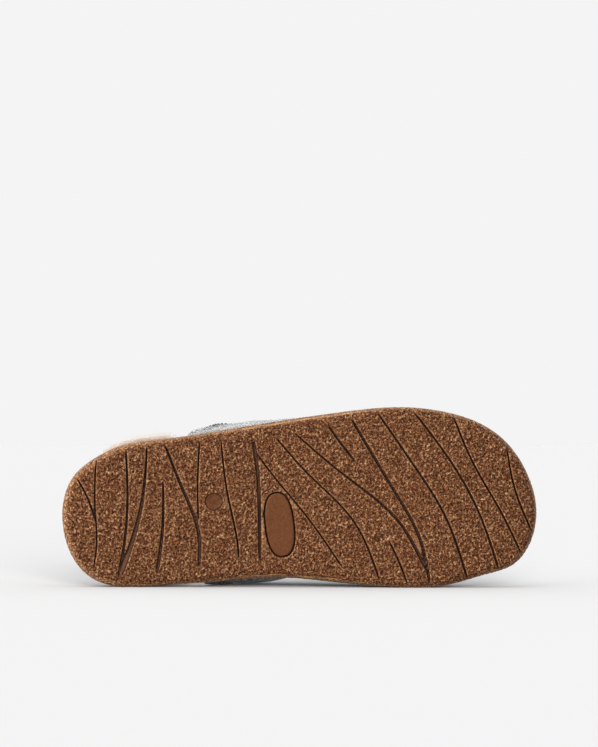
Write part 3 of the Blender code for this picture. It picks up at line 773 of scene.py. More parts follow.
calm = np.ones(sole_height.shape)
for place, share in CALMED.items():
    calm = calm * (1 - share * smooth[place])
crumb = wave_field(solid_points(sole_plan, sole_height), CRUMB_WAVES)
relief = CRUMB_HEIGHT * np.tanh(CRUMB_STEEPNESS * crumb) * calm
relief = relief - PANEL_DEPTH * smooth["panel"] - on_grid(press)
outward_plan = -inward_plan(sole_along, sole_side)[None] * np.sin(sole_facing)[..., None]
outward = solid_points(outward_plan, -np.cos(sole_facing))
sole_points = solid_points(sole_plan, sole_height) + outward * relief[..., None]
print("relief, mm, at one in twenty and nineteen in twenty:", in_mm(np.percentile(relief, [5, 95]), 3))

# %% [markdown]
# Node helpers
# Materials are trees of shader nodes. They could be wired by hand in the editor, but a script needs each
# node and link in words. A few small functions, one for each kind of node, let a finish be written as a
# formula.

# %% Node helpers
# A noise's scale per metre, its detail, and its weight in the mix that it is part of
Grain = namedtuple("Grain", "scale detail weight", defaults=(1.0,))
NOISE_SPAN = (0.2, 0.8)
NOISE_MIDDLE = 0.5


def paint(red, green, blue):
    """Colour on a screen's scale of 0 to 255 as the linear light that a shader takes, by the sRGB curve."""
    share = np.array([red, green, blue]) / 255
    linear = np.where(share <= 0.04045, share / 12.92, ((share + 0.055) / 1.055) ** 2.4)
    return (*linear.tolist(), 1.0)


def join(tree, value, socket):
    """Links an output to a socket, or sets the socket's own value."""
    if isinstance(value, bpy.types.NodeSocket):
        tree.links.new(value, socket)
    else:
        socket.default_value = value


def add_node(tree, kind, settings=None, **sockets):
    """New node with its settings; each named socket takes a value, or joins another node's output."""
    made = tree.nodes.new(kind)
    for name, value in (settings or {}).items():
        setattr(made, name, value)
    for name, value in sockets.items():
        join(tree, value, made.inputs[name.replace("_", " ")])
    return made


def combine(tree, operation, first, second):
    """Math node of two inputs; its output."""
    made = add_node(tree, "ShaderNodeMath", {"operation": operation})
    join(tree, first, made.inputs[0])
    join(tree, second, made.inputs[1])
    return made.outputs[0]


def weighted_sum(tree, *terms):
    """Sum of values, each times its weight."""
    total, *rest = (combine(tree, "MULTIPLY", value, weight) for value, weight in terms)
    for term in rest:
        total = combine(tree, "ADD", total, term)
    return total


def spread(tree, value, low, high, start=0.0, end=1.0):
    """Value between low and high carried to the range from start to end, clamped."""
    limits = {"From_Min": low, "From_Max": high, "To_Min": start, "To_Max": end}
    return add_node(tree, "ShaderNodeMapRange", Value=value, **limits).outputs["Result"]


def colour_ramp(tree, value, stops):
    """Colour ramp with a painted stop at each position; its colour output."""
    made = add_node(tree, "ShaderNodeValToRGB", Fac=value)
    band = made.color_ramp.elements
    while len(band) < len(stops):
        band.new(1.0)
    for element, (position, colour) in zip(band, stops):
        element.position = position
        element.color = paint(*colour)
    return made.outputs["Color"]


def blend_colour(tree, share, first, second, mode="MIX"):
    """A colour mixed with a painted one by a share; the mixed colour. The Mix node keeps colours in its
    inputs 6 and 7 and its output 2."""
    made = add_node(tree, "ShaderNodeMix", {"data_type": "RGBA", "blend_type": mode})
    join(tree, share, made.inputs[0])
    join(tree, first, made.inputs[6])
    join(tree, paint(*second), made.inputs[7])
    return made.outputs[2]


def stored(tree, name):
    """Number that the piece keeps on its points under a name."""
    return add_node(tree, "ShaderNodeAttribute", {"attribute_name": name}).outputs["Fac"]


def noise(tree, grain, stretch=None, roughness=0.5):
    """Noise on the object's own coordinates, squeezed along some axes by stretch; about 0.5 on average."""
    place = add_node(tree, "ShaderNodeTexCoord").outputs["Object"]
    if stretch:
        place = add_node(tree, "ShaderNodeMapping", Vector=place, Scale=stretch).outputs["Vector"]
    sockets = {"Scale": grain.scale, "Detail": grain.detail, "Roughness": roughness}
    return add_node(tree, "ShaderNodeTexNoise", Vector=place, **sockets).outputs["Fac"]


def signed_noise(tree, grain):
    """Noise carried from its usual span to the range from -1 to 1."""
    return spread(tree, noise(tree, grain), *NOISE_SPAN, -1.0, 1.0)


def ridged_noise(tree, grain, half):
    """Thin ridges where a noise crosses its middle: 0.5 there, falling to -0.5 at half away from it."""
    off = combine(tree, "SUBTRACT", noise(tree, grain), NOISE_MIDDLE)
    return spread(tree, combine(tree, "ABSOLUTE", off, 0.0), 0.0, half, 0.5, -0.5)


def bump(tree, height, strength, distance):
    """Normal tilted by a height."""
    made = add_node(tree, "ShaderNodeBump", Height=height, Strength=strength, Distance=distance)
    return made.outputs["Normal"]


def new_material(name, roughness, **sockets):
    """Principled material with uniform values set on the shader's own sockets; the material, its tree and
    shader."""
    material = bpy.data.materials.new(name)
    material.use_nodes = True
    shader = material.node_tree.nodes["Principled BSDF"]
    shader.inputs["Roughness"].default_value = roughness
    for title, value in sockets.items():
        shader.inputs[title.replace("_", " ")].default_value = value
    return material, material.node_tree, shader


def finish(tree, shader, colour, normal):
    """Joins a colour and a normal to the shader."""
    join(tree, colour, shader.inputs["Base Color"])
    join(tree, normal, shader.inputs["Normal"])


print("a middle grey as light:", round(paint(128, 128, 128)[0], 3))

# %% [markdown]
# Rubber finish
# Rubber crumb of several browns is pressed into one sheet. Its colour follows the relief: darker in the
# valleys and tan to golden on the ridges, partly the crumb's own mottle and partly painted shade and
# highlight. A scanned picture could show one sole, but would not fit the grooves. So the stored relief,
# broken up by finer noises, picks the colour from a ramp. Groove floors are a plain brown with painted shade
# along their edges, where the walls stand in shade, and the thin flash line at the waist is rubbed golden.
# The same grain makes the bump.

# %% Rubber material
FINE_GRAIN = Grain(1250, 1.5, 1.5)
WORM_GRAIN = Grain(860, 1.5, 1.5)
RIDGE_GRAIN = Grain(800, 1, 0.6)
GOLDEN_PATCHES = Grain(420, 1, 0.5)
BROAD_PATCHES = Grain(38, 2, 0.15)
RIDGE_HALF = 0.14
CRUMB_WEIGHT = 0.6
GOLDEN_SPAN = (0.5, 0.66)
BROAD_SPAN = (0.35, 0.65)
RUBBER_LEVELS = (-1.9, 2.1)
RUBBER_BROWNS = (
    (0.0, (31, 10, 0)),
    (0.28, (64, 30, 5)),
    (0.50, (92, 56, 31)),
    (0.68, (122, 84, 55)),
    (0.84, (151, 115, 83)),
    (1.0, (182, 149, 112)),
)
GOLDEN_TINT = (255, 224, 160)
DUSTY_TINT = (228, 208, 196)
GROOVE_BROWN = (92, 58, 38)
GROOVE_SHADE = (34, 16, 9)
FLASH_GOLD = (205, 150, 90)


def rubber_material():
    """Colour from a grain of crumb relief, fine noise and thin ridges, calmed where the mould is smooth:
    lighter on the ridges and darker in the valleys, partly mottle and partly painted highlight and shade;
    then brown groove floors with painted shade at their edges, and the golden flash line. The same grain is
    the bump."""
    material, tree, shader = new_material("pressed_crumb_rubber", 0.5, Specular_IOR_Level=0.12)
    grain = weighted_sum(
        tree,
        (signed_noise(tree, FINE_GRAIN), FINE_GRAIN.weight),
        (ridged_noise(tree, RIDGE_GRAIN, RIDGE_HALF), RIDGE_GRAIN.weight),
        (signed_noise(tree, WORM_GRAIN), WORM_GRAIN.weight),
    )
    grain = combine(tree, "MULTIPLY", grain, stored(tree, "calm"))
    # The level, and with it the colour, rises on the ridges of the grain and of the stored relief: partly the
    # crumb's mottle, partly painted highlight and shade.
    level = combine(tree, "ADD", grain, combine(tree, "MULTIPLY", stored(tree, "crumb"), CRUMB_WEIGHT))
    colour = colour_ramp(tree, spread(tree, level, *RUBBER_LEVELS), RUBBER_BROWNS)
    golden = spread(tree, noise(tree, GOLDEN_PATCHES), *GOLDEN_SPAN, 0.0, GOLDEN_PATCHES.weight)
    colour = blend_colour(tree, golden, colour, GOLDEN_TINT, "MULTIPLY")
    dusty = spread(tree, noise(tree, BROAD_PATCHES), *BROAD_SPAN, 0.0, BROAD_PATCHES.weight)
    colour = blend_colour(tree, dusty, colour, DUSTY_TINT, "MULTIPLY")
    # groove is the floors' plain brown, dark is painted shade at the groove edges, flash is the golden flash
    # line.
    for name, second in (("groove", GROOVE_BROWN), ("dark", GROOVE_SHADE), ("flash", FLASH_GOLD)):
        colour = blend_colour(tree, stored(tree, name), colour, second)
    finish(tree, shader, colour, bump(tree, grain, strength=1.0, distance=0.00022))
    return material


RUBBER = rubber_material()
print("rubber nodes:", len(RUBBER.node_tree.nodes))

# %% [markdown]
# Outsole mesh
# Where the two halves of the mould met, a thin flash line was trimmed off along the waist, and it shows as
# a golden seam that wanders a little. It could be a strip of its own, but it is only a colour on the edge,
# so its strength is stored on the points with the other tones that the finish reads.

# %% Tones of the outsole and its piece
FLASH_WAVES = Waves(length=0.022, spread=0.4, count=24, seed=11)
FLASH_FACING = {1: 1.08, -1: 0.80}
FLASH_SPAN = 0.075
FLASH_SWING = 0.05
FLASH_MEAN = 0.6
FLASH_UNEVEN = 0.3
FLASH_SHIFT = 40
GROOVE_COVER = 0.9
# The crumb's relief sets the stored tone, lighter on ridges and darker in valleys: partly mottle, partly
# painted highlight and shade.
CRUMB_TONE = 0.6
# How much lighter or darker than the tread each place is, where 1 is the spread of the crumb's waves. The
# shoulder and rim are painted lighter as painted highlight; the panel and recess are darker tones of their
# own
TONE_AND_HIGHLIGHT_SHIFTS = {"shoulder": 1.4, "rim": 1.5, "panel": -0.3, "recess": -0.35}


def flash_line():
    """Strength of the flash line: a bell curve across the facing angle, along the waist, broken up by a
    wave."""
    wave = wave_field(sole_along[:, None] * LENGTH, FLASH_WAVES)
    place = by_side(sole_side, FLASH_FACING[1], FLASH_FACING[-1]) + FLASH_SWING * wave
    line = np.exp(-((sole_facing - place) / FLASH_SPAN) ** 2) * waist_share(sole_along * LENGTH)
    return line * np.clip(FLASH_MEAN + FLASH_UNEVEN * np.roll(wave, FLASH_SHIFT), 0, 1)


crumb_tone_and_painted_light = CRUMB_TONE * crumb * calm
for place, shift in TONE_AND_HIGHLIGHT_SHIFTS.items():
    crumb_tone_and_painted_light = crumb_tone_and_painted_light + shift * smooth[place]
outsole_tones = {
    "crumb": crumb_tone_and_painted_light,
    "calm": calm,
    "groove": GROOVE_COVER * smooth["groove"],
    "dark": on_grid(groove_dark),
    "flash": flash_line(),
}
outsole_quads = grid_quads(*sole_height.shape, closed=True)
outsole_mesh = welded_mesh("rubber_outsole", sole_points, outsole_quads, outsole_tones)
outsole_volume = face_outwards(outsole_mesh)
add_piece(outsole_mesh, RUBBER, "crumb_rubber", "outsole")
print("outsole volume, cm3:", round(outsole_volume * CM3_IN_A_CUBIC_METRE, 1))

# %% [markdown]
# Felt upper
# The upper is one piece of thick wool felt, shaped over the last and glued under the edge to the sole. Its
# outside is a bulge from the sole up to a widest line and then a dome up to a ridge. The sections stand
# across the foot and fan round the toe. It could be draped as cloth, but felt this thick keeps its moulded
# form, so a function of place and rise gives it directly.

# %% Upper's form
GAP = 0.0003
FEATHER_INSET = 0.0016
FEATHER_TUCK = 0.001
TOPLINE = {1: 0.069, -1: 0.077}
THROAT = 0.122
TOPLINE_POWER = 2.4
TOE_FAN_START = 0.224
RIDGE_SHARE = 0.46
WIDEST_SHARE = 0.25
DOME_POWER = 2.4
RIDGE_SLOPE_RUN = 0.005

# Share of LENGTH, height of the ridge, reach past the sole's edge on both sides, height of the widest line
UpperRow = namedtuple("UpperRow", "along crown outer inner widest")
UPPER_FORM = [UpperRow(*row) for row in (
    (0.25, 0.0960, 0.0006, 0.0014, 0.034),
    (0.305, 0.0960, 0.0012, 0.0030, 0.041),
    (0.38, 0.0940, 0.0009, 0.0047, 0.047),
    (0.44, 0.0910, -0.0004, 0.0050, 0.048),
    (0.476, 0.0879, -0.0012, 0.0018, 0.0465),
    (0.515, 0.0840, -0.0017, -0.0006, 0.044),
    (0.61, 0.0730, -0.0026, -0.0018, 0.038),
    (0.706, 0.0640, -0.0030, -0.0026, 0.034),
    (0.80, 0.0565, -0.0030, -0.0030, 0.032),
    (0.90, 0.0500, -0.0030, -0.0030, 0.031),
    (1.00, 0.0490, -0.0030, -0.0030, 0.031),
)]
CROWN_HEIGHT, WIDEST_HEIGHT, OUTER_REACH, INNER_REACH = (
    column_curve(UPPER_FORM, column) for column in ("crown", "widest", "outer", "inner"))


def upper_reach(along, side):
    """How far the upper's widest line stands past the sole's edge."""
    return by_side(side, OUTER_REACH(along), INNER_REACH(along))


def feather_inset(along, side):
    """How far inside the sole's edge the upper's lower edge stands."""
    return np.maximum(FEATHER_INSET, FEATHER_TUCK - upper_reach(along, side))


def ridge_fall():
    """Slope of the ridge where the fan of sections round the toe starts."""
    here, before = CROWN_HEIGHT(np.array([TOE_FAN_START, TOE_FAN_START - RIDGE_SLOPE_RUN]) / LENGTH)
    return (here - before) / RIDGE_SLOPE_RUN


def upper_section(along, side, rise, swell):
    """Points of the upper's outside. Below the widest line the plan bulges out by a sine; above it plan and
    height follow a superellipse from the widest line to the ridge. Ahead of the fan's start the ridge keeps
    falling."""
    middle = spine_plan(np.minimum(along, TOE_FAN_START / LENGTH), RIDGE_SHARE)
    feather = inset_plan(along, side, feather_inset(along, side) - swell)
    widest = inset_plan(along, side, -(upper_reach(along, side) + swell))
    crown = CROWN_HEIGHT(np.minimum(along, TOE_FAN_START / LENGTH)) + swell
    low = np.clip(rise / WIDEST_SHARE, 0, 1)
    dome = np.clip((rise - WIDEST_SHARE) / (1 - WIDEST_SHARE), 0, 1) * np.pi / 2
    bulge = feather + (widest - feather) * np.sin(low * np.pi / 2)[..., None]
    plan = middle + (bulge - middle) * (np.cos(dome) ** (2 / DOME_POWER))[..., None]
    seat = seat_height(np.clip(feather[..., 0], 0, LENGTH)) + GAP
    side_height = seat + (WIDEST_HEIGHT(along) - seat) * low
    height = side_height + (crown - side_height) * np.sin(dome) ** (2 / DOME_POWER)
    fall = ridge_fall() * np.maximum(plan[..., 0] - TOE_FAN_START, 0)
    return solid_points(plan, height + fall * np.sin(dome))


def topline_place(side, rise):
    """Place along the shoe of the topline: a power of a sine from the sole to the throat."""
    return TOPLINE[side] + (THROAT - TOPLINE[side]) * np.sin(rise * np.pi / 2) ** TOPLINE_POWER


print("ridge at the throat, mm high:", in_mm(CROWN_HEIGHT(THROAT / LENGTH), 1))

# %% [markdown]
# Grid of the upper
# Along the topline the felt is turned under once, and this hem stands up as a small step. The grid's
# columns follow the topline on both flanks, close together at the hem, and fan round the toe between the
# flanks. Its rows run from the sole to the ridge, where both sides meet and are welded, so that one even
# skin covers the foot.

# %% Grid of the upper and its hem
HEM_WIDTH = 0.011
HEM_STEP = 0.0009
HEM_EDGE = 0.86
HEM_SHARES = np.array([0.0, 0.08, 0.2, 0.35, 0.5, 0.65, 0.78, 0.88, 0.94, 1.0, 1.12])
LOW_ROWS = 22
DOME_ROWS = 66
FLANK_COLUMNS = 96
FAN_COLUMNS = 91


def hem_swell(from_topline):
    """Thickness that the turned hem adds: full over most of its width, falling to nothing at its inner
    edge."""
    return HEM_STEP * ramp(from_topline, HEM_WIDTH, HEM_EDGE * HEM_WIDTH)


def upper_grid():
    """Rows from sole to ridge; columns from the outer topline forward, round the toe and back to the inner
    topline."""
    low = np.linspace(0, WIDEST_SHARE, LOW_ROWS)[:-1]
    rise = np.concatenate([low, np.linspace(WIDEST_SHARE, 1, DOME_ROWS)])[:, None]
    flanks = {}
    for side in (1, -1):
        topline = topline_place(side, rise)
        hem = topline + HEM_SHARES * HEM_WIDTH
        body = hem[:, -1:] + (TOE_FAN_START - hem[:, -1:]) * np.linspace(0, 1, FLANK_COLUMNS)[1:]
        place = np.concatenate([hem, body], axis=1)
        swell = hem_swell(place - topline)
        flanks[side] = upper_section(place / LENGTH, side, np.broadcast_to(rise, place.shape), swell)
    start = float(round_ends(TOE_FAN_START / LENGTH))
    turn = np.linspace(start, 2 * np.pi - start, FAN_COLUMNS)[1:-1]
    shape = (len(rise), len(turn))
    along = np.broadcast_to((1 - np.cos(turn)) / 2, shape)
    side = np.broadcast_to(np.where(turn <= np.pi, 1, -1), shape)
    toe = upper_section(along, side, np.broadcast_to(rise, shape), 0.0)
    return np.concatenate([flanks[1], toe, flanks[-1][:, ::-1]], axis=1)


upper_points = upper_grid()
upper_quads = grid_quads(*upper_points.shape[:2])
print("upper grid:", upper_points.shape[:2])

# %% [markdown]
# Creases of the felt
# Felt that was shaped wet keeps soft dents: two shallow flex creases across the vamp, a slack fold on each
# flank below the throat, and a gentle unevenness all over. A noise alone would look like lumps, so each
# crease is given one by one, in the shoe's own sizes, as a trough with a low ridge beside it.

# %% Felt skin with creases
# Place along the shoe at the ridge, forward shift per metre down the flanks, depth, half width and
# lowest height
Crease = namedtuple("Crease", "place shift depth half low")
CREASES = (
    Crease(0.171, -0.30, 0.0008, 0.0075, 0.040),
    Crease(0.194, -0.22, 0.0005, 0.0065, 0.036),
    Crease(0.148, 0.55, 0.0006, 0.0085, 0.052),
)
# Height, place and half width of the ridge beside a trough, as shares of the trough's depth and half width
CREASE_RIDGE = 0.55
CREASE_RIDGE_PLACE = 1.7
CREASE_RIDGE_HALF = 1.2
CREASE_FADE = 0.016
FELT_WAVES = Waves(length=0.019, spread=0.3, count=60, seed=21)
FELT_UNEVEN = 0.00022


def crease_relief(points):
    """Sum of soft troughs: a bell curve across each crease's line, with a ridge a little over a half width
    ahead of it, faded out below the crease's lowest height."""
    place, height = points[:, 0], points[:, 1]
    crown = CROWN_HEIGHT(np.minimum(place, TOE_FAN_START) / LENGTH)
    total = np.zeros(len(points))
    for crease in CREASES:
        off = (place - crease.place - crease.shift * (crown - height)) / crease.half
        ridge = CREASE_RIDGE * np.exp(-((off - CREASE_RIDGE_PLACE) / CREASE_RIDGE_HALF) ** 2)
        shape = ridge - np.exp(-off ** 2)
        total += crease.depth * shape * ramp(height, crease.low, crease.low + CREASE_FADE)
    return total


felt_mesh = welded_mesh("felt_upper", upper_points, upper_quads)
felt_form = vertex_array(felt_mesh)
felt_normals = vertex_array(felt_mesh, "normal")
felt_creases = crease_relief(felt_form)
felt_relief = felt_creases + FELT_UNEVEN * wave_field(felt_form, FELT_WAVES)
felt_skin = felt_form + felt_normals * felt_relief[:, None]
set_vertices(felt_mesh, felt_skin)
print("creases, mm:", in_mm([felt_creases.min(), felt_creases.max()]))

# %% [markdown]
# Felt finish
# Heather felt is pressed from dark and pale wool together, so up close it is salt and pepper: pale grey
# with darker strands and near-black flecks. A woven pattern would be wrong, because felt has no threads. A
# fleck noise and two crossed noises, drawn out into short strands, pick the greys. The nap is a small bump
# and a little sheen, and the surface is quite matt. Solidify gives the wall its thickness, and Bevel rounds
# its rim.

# %% Felt material and the upper's piece
FELT_WALL = 0.0018
RIM_ROUND = 0.0006
RIM_ANGLE = math.radians(60)
RIM_SEGMENTS = 2
FLECKS = Grain(820, 2, 0.6)
STRANDS = Grain(1200, 2, 0.2)
FLECK_ROUGHNESS = 0.6
STRANDS_ALONG = (0.25, 1.0, 1.0)
STRANDS_UP = (1.0, 1.0, 0.25)
FELT_GREYS = (
    (0.43, (0, 1, 3)),
    (0.465, (22, 23, 26)),
    (0.50, (78, 79, 81)),
    (0.535, (126, 127, 128)),
    (0.575, (182, 182, 181)),
)


def felt_material():
    """Greys from a fleck noise and two crossed strand noises, with a nap bump."""
    material, tree, shader = new_material("heather_felt", 0.95, Sheen_Weight=0.3, Sheen_Roughness=0.6)
    mixed = weighted_sum(
        tree,
        (noise(tree, FLECKS, roughness=FLECK_ROUGHNESS), FLECKS.weight),
        (noise(tree, STRANDS, STRANDS_ALONG), STRANDS.weight),
        (noise(tree, STRANDS, STRANDS_UP), STRANDS.weight),
    )
    colour = colour_ramp(tree, mixed, FELT_GREYS)
    finish(tree, shader, colour, bump(tree, mixed, strength=0.6, distance=0.0012))
    return material


FELT = felt_material()
felt = add_piece(felt_mesh, FELT, "grey_felt", "upper")
felt_wall = felt.modifiers.new("wall", "SOLIDIFY")
felt_wall.thickness = FELT_WALL
felt_wall.offset = -1
felt_wall.use_even_offset = True
felt_rim = felt.modifiers.new("rim", "BEVEL")
felt_rim.width = RIM_ROUND
felt_rim.segments = RIM_SEGMENTS
felt_rim.limit_method = "ANGLE"
felt_rim.angle_limit = RIM_ANGLE
print("felt wall, mm:", in_mm(FELT_WALL))

# %% [markdown]
# Fleece lining
# Inside, the felt is lined with a curly fleece. The lining could be lofted by itself, but its skin is
# simply the felt's own skin moved inwards by the felt's thickness, so that no gap opens anywhere. Small
# soft lumps stand for the curls of the pile, none so deep that felt could show through, and hairs follow
# further below. The cream is paler on the tips and darker and warmer in the depth, a painted shade that
# follows the curls of the bump.

# %% Fleece material
CURLS = Grain(420, 3)
CURL_ROUGHNESS = 0.6
FLEECE_PATCHES = Grain(45, 2, 0.35)
PATCH_SPAN = (0.35, 0.65)
# Creams from the depth of the curls to their tips; the darker, warmer end is painted shade in the depth.
FLEECE_CREAMS = (
    (0.30, (224, 206, 186)),
    (0.48, (241, 228, 212)),
    (0.68, (252, 245, 236)),
)
FLEECE_TINT = (238, 220, 208)


def fleece_material():
    """Cream from the curl noise of the bump: paler on the tips and darker and warmer in the depth, as painted
    shade.
    """
    material, tree, shader = new_material("cream_pile", 0.95, Sheen_Weight=0.35, Sheen_Roughness=0.5)
    curl = noise(tree, CURLS, roughness=CURL_ROUGHNESS)
    patches = spread(tree, noise(tree, FLEECE_PATCHES), *PATCH_SPAN, 0.0, FLEECE_PATCHES.weight)
    colour = blend_colour(tree, patches, colour_ramp(tree, curl, FLEECE_CREAMS), FLEECE_TINT, "MULTIPLY")
    finish(tree, shader, colour, bump(tree, curl, strength=0.7, distance=0.0012))
    return material


FLEECE = fleece_material()
print("fleece nodes:", len(FLEECE.node_tree.nodes))

# %% Lining skin
LINING_BACK = 0.0019
LINING_WALL = 0.0011
LINING_WAVES = Waves(length=0.0065, spread=0.2, count=60, seed=31)
LINING_LUMP = 0.0005
LINING_THINNEST = -0.0008

lining_mesh = welded_mesh("fleece_lining", upper_points, upper_quads)
lining_lumps = np.maximum(LINING_LUMP * wave_field(felt_form, LINING_WAVES), LINING_THINNEST)
lining_inside = felt_skin - felt_normals * (LINING_BACK + LINING_WALL + lining_lumps)[:, None]
set_vertices(lining_mesh, lining_inside)
lining = add_piece(lining_mesh, FLEECE, "cream_fleece", in_key=False)
lining_wall = lining.modifiers.new("pile", "SOLIDIFY")
lining_wall.thickness = LINING_WALL
lining_wall.offset = 1
print("lining lumps, mm:", in_mm(np.percentile(lining_lumps, [5, 95])))

# %% [markdown]
# Fleece footbed
# The footbed is a foam pad covered with the same fleece. Behind the upper it puffs out to the sole's edge
# and past it on the inner side, and under the upper it is tucked inside the wall. A blown-up cloth would
# swell at seams that a glued pad does not have. A ring grid like the sole's gives a closed, crowned pad,
# and lumps lie on its top.

# %% Footbed pad
PAD_HEIGHT = 0.009
PAD_EDGE = 0.0022
PAD_SHOULDER = 0.9
PAD_CROWN_SHARE = 0.6
UPPER_WALL = 0.003
PAD_CLEARANCE = 0.0005
PAD_UNDER_ROWS = 6
PAD_SIDE_ROWS = 13
PAD_TOP_ROWS = 34
PAD_STATIONS = 220
PAD_TUCK = {1: (0.215, 0.250), -1: (0.245, 0.280)}
PAD_WAVES = Waves(length=0.0085, spread=0.2, count=60, seed=41)
PAD_LUMP = 0.0006
PAD_LUMP_SPAN = (0.3 * PAD_HEIGHT, 0.9 * PAD_HEIGHT)

# Share of LENGTH, then reach past the sole's edge on both sides
PadRow = namedtuple("PadRow", "along outer inner")
PAD_REACH = [PadRow(*row) for row in (
    (0.00, -0.0014, -0.0014),
    (0.07, -0.0010, -0.0014),
    (0.11, -0.0004, -0.0008),
    (0.18, -0.0004, 0.0012),
    (0.245, -0.0004, 0.0016),
)]
PAD_OUTER_REACH, PAD_INNER_REACH = (column_curve(PAD_REACH, column) for column in ("outer", "inner"))


def pad_inset(along, side):
    """Inset of the pad's edge from the outline: its reach behind the upper, blended to the upper's
    inside."""
    back = by_side(side, PAD_OUTER_REACH(along), PAD_INNER_REACH(along))
    tucked = -(feather_inset(along, side) + UPPER_WALL + PAD_CLEARANCE)
    tuck = by_side(side, ramp(along, *PAD_TUCK[1]), ramp(along, *PAD_TUCK[-1]))
    return -(back + (tucked - back) * tuck)


def pad_grid():
    """Rows from the middle of the underside to its edge, round the side by a half ellipse, and in over the
    crowned top to the middle."""
    along, side = ring_stations(PAD_STATIONS)
    inset = pad_inset(along, side)
    under_share = np.linspace(0, 1, PAD_UNDER_ROWS)[:, None]
    under = share_plan(along, side, under_share, np.maximum(inset, SEAT_SHOULDER) + PAD_EDGE)
    turn = np.linspace(0, np.pi, PAD_SIDE_ROWS)[1:, None]
    edge = inset_plan(along, side, inset + PAD_EDGE * (1 - np.sin(turn)))
    top_share = np.linspace(1, 0, PAD_TOP_ROWS)[1:, None]
    top = share_plan(along, side, top_share, inset + PAD_EDGE)
    side_lift = PAD_SHOULDER * PAD_HEIGHT * (1 - np.cos(turn)) / 2 + 0 * along
    crown = PAD_SHOULDER + (1 - PAD_SHOULDER) * ramp(top_share, 1.0, PAD_CROWN_SHARE)
    plan = np.concatenate([under, edge, top])
    lift = np.concatenate([np.zeros(under.shape[:-1]), side_lift, PAD_HEIGHT * crown + 0 * along])
    points = solid_points(plan, seat_height(plan[..., 0]) + GAP + lift)
    lumps = PAD_LUMP * wave_field(points, PAD_WAVES) * ramp(lift, *PAD_LUMP_SPAN)
    return points + lumps[..., None] * np.array([0.0, 1.0, 0.0])


Surface = namedtuple("Surface", "points normals triangles")
pad_points = pad_grid()
pad_mesh = welded_mesh("fleece_footbed", pad_points, grid_quads(*pad_points.shape[:2], closed=True))
pad_volume = face_outwards(pad_mesh)
pad_surface = Surface(vertex_array(pad_mesh), vertex_array(pad_mesh, "normal"), triangle_array(pad_mesh))
footbed = add_piece(pad_mesh, FLEECE, "cream_fleece", "insole", in_key=False)
print("footbed volume, cm3:", round(pad_volume * CM3_IN_A_CUBIC_METRE, 1))

# %% [markdown]
# Hairs
# Fleece is a pile of curled hairs, and felt has a short nap of loose ones. Hair particles would not travel
# with an exported model, so each hair is a thin three-sided spike that bends as it rises, and all hairs of
# one kind are joined in one mesh. Roots are scattered evenly by area, and every number is drawn from a
# seeded generator.

# %% Hair builder
# How far a hair rises along the normal, leans at random and curls at its tip, as shares of its length
Hair = namedtuple("Hair", "rise lean curl radius rings")
HAIR_SIDES = 3
# Keeps a hair's direction and its helper vector from being parallel
HELPER_SHIFT = 0.3


def scatter(surface, count, draw):
    """Random points of a surface, even by area: a triangle is drawn by its area, a place in it by two
    square-rooted shares. Returns the points and the normals there."""
    a, b, c = surface.points[surface.triangles].transpose(1, 0, 2)
    area = np.linalg.norm(np.cross(b - a, c - a), axis=1)
    picked = surface.triangles[np.searchsorted(np.cumsum(area) / area.sum(), draw.uniform(size=count))]
    root = np.sqrt(draw.uniform(size=(count, 1)))
    other = draw.uniform(size=(count, 1))
    share = np.concatenate([1 - root, root * (1 - other), root * other], axis=1)[..., None]
    return np.sum(surface.points[picked] * share, axis=1), np.sum(surface.normals[picked] * share, axis=1)


def random_lean(normals, amount, draw):
    """Random sideways vectors, square to the normals, of about the given length."""
    lean = draw.normal(size=normals.shape)
    lean -= normals * np.sum(lean * normals, axis=1, keepdims=True)
    return amount * lean


def grow(normals, hair, draw, sweep=0.0):
    """Vectors along which hairs rise at first, and then bend: both lean at random and are swept one way."""
    rising = hair.rise * normals + random_lean(normals, hair.lean, draw) + sweep
    return rising, random_lean(normals, hair.curl, draw) + sweep


def hair_mesh(name, hair, roots, rising, bend, length):
    """Joined hairs. Each is root + length * (t * rising + t squared * bend) for t from 0 to 1; its
    three-sided section shrinks with the root of 1 - t, from the hair's radius to a point."""
    rings = hair.rings
    share = np.linspace(0, 1, rings + 1)[:-1]
    across = np.cross(rising, np.roll(rising, 1, axis=1) + HELPER_SHIFT)
    across /= np.linalg.norm(across, axis=1, keepdims=True)
    other = np.cross(rising, across)
    length = np.reshape(length, (-1, 1, 1))
    spine = roots[:, None] + length * (share[:, None] * rising[:, None] + share[:, None] ** 2 * bend[:, None])
    angle = np.arange(HAIR_SIDES) * 2 * np.pi / HAIR_SIDES
    spokes = np.cos(angle)[:, None] * across[:, None] + np.sin(angle)[:, None] * other[:, None]
    size = hair.radius * np.sqrt(1 - share)
    body = spine[:, :, None] + size[:, None, None] * spokes[:, None]
    tip = roots + length[:, 0] * (rising + bend)
    points = np.concatenate([body.reshape(len(roots), -1, 3), tip[:, None]], axis=1)
    ring = np.arange(rings * HAIR_SIDES).reshape(rings, HAIR_SIDES)
    ring_next = np.roll(ring, -1, axis=1)
    walls = np.stack([ring[:-1], ring_next[:-1], ring_next[1:], ring[1:]], axis=-1).reshape(-1, 4)
    last = np.full(HAIR_SIDES, rings * HAIR_SIDES)
    point = np.stack([ring[-1], ring_next[-1], last, last], axis=-1)
    foot = np.array([[2, 1, 0, 0]])
    pattern = np.concatenate([walls, point, foot])
    quads = pattern[None] + (np.arange(len(roots)) * points.shape[1])[:, None, None]
    return welded_mesh(name, points, quads.reshape(-1, 4))


print("sides of a hair:", HAIR_SIDES)

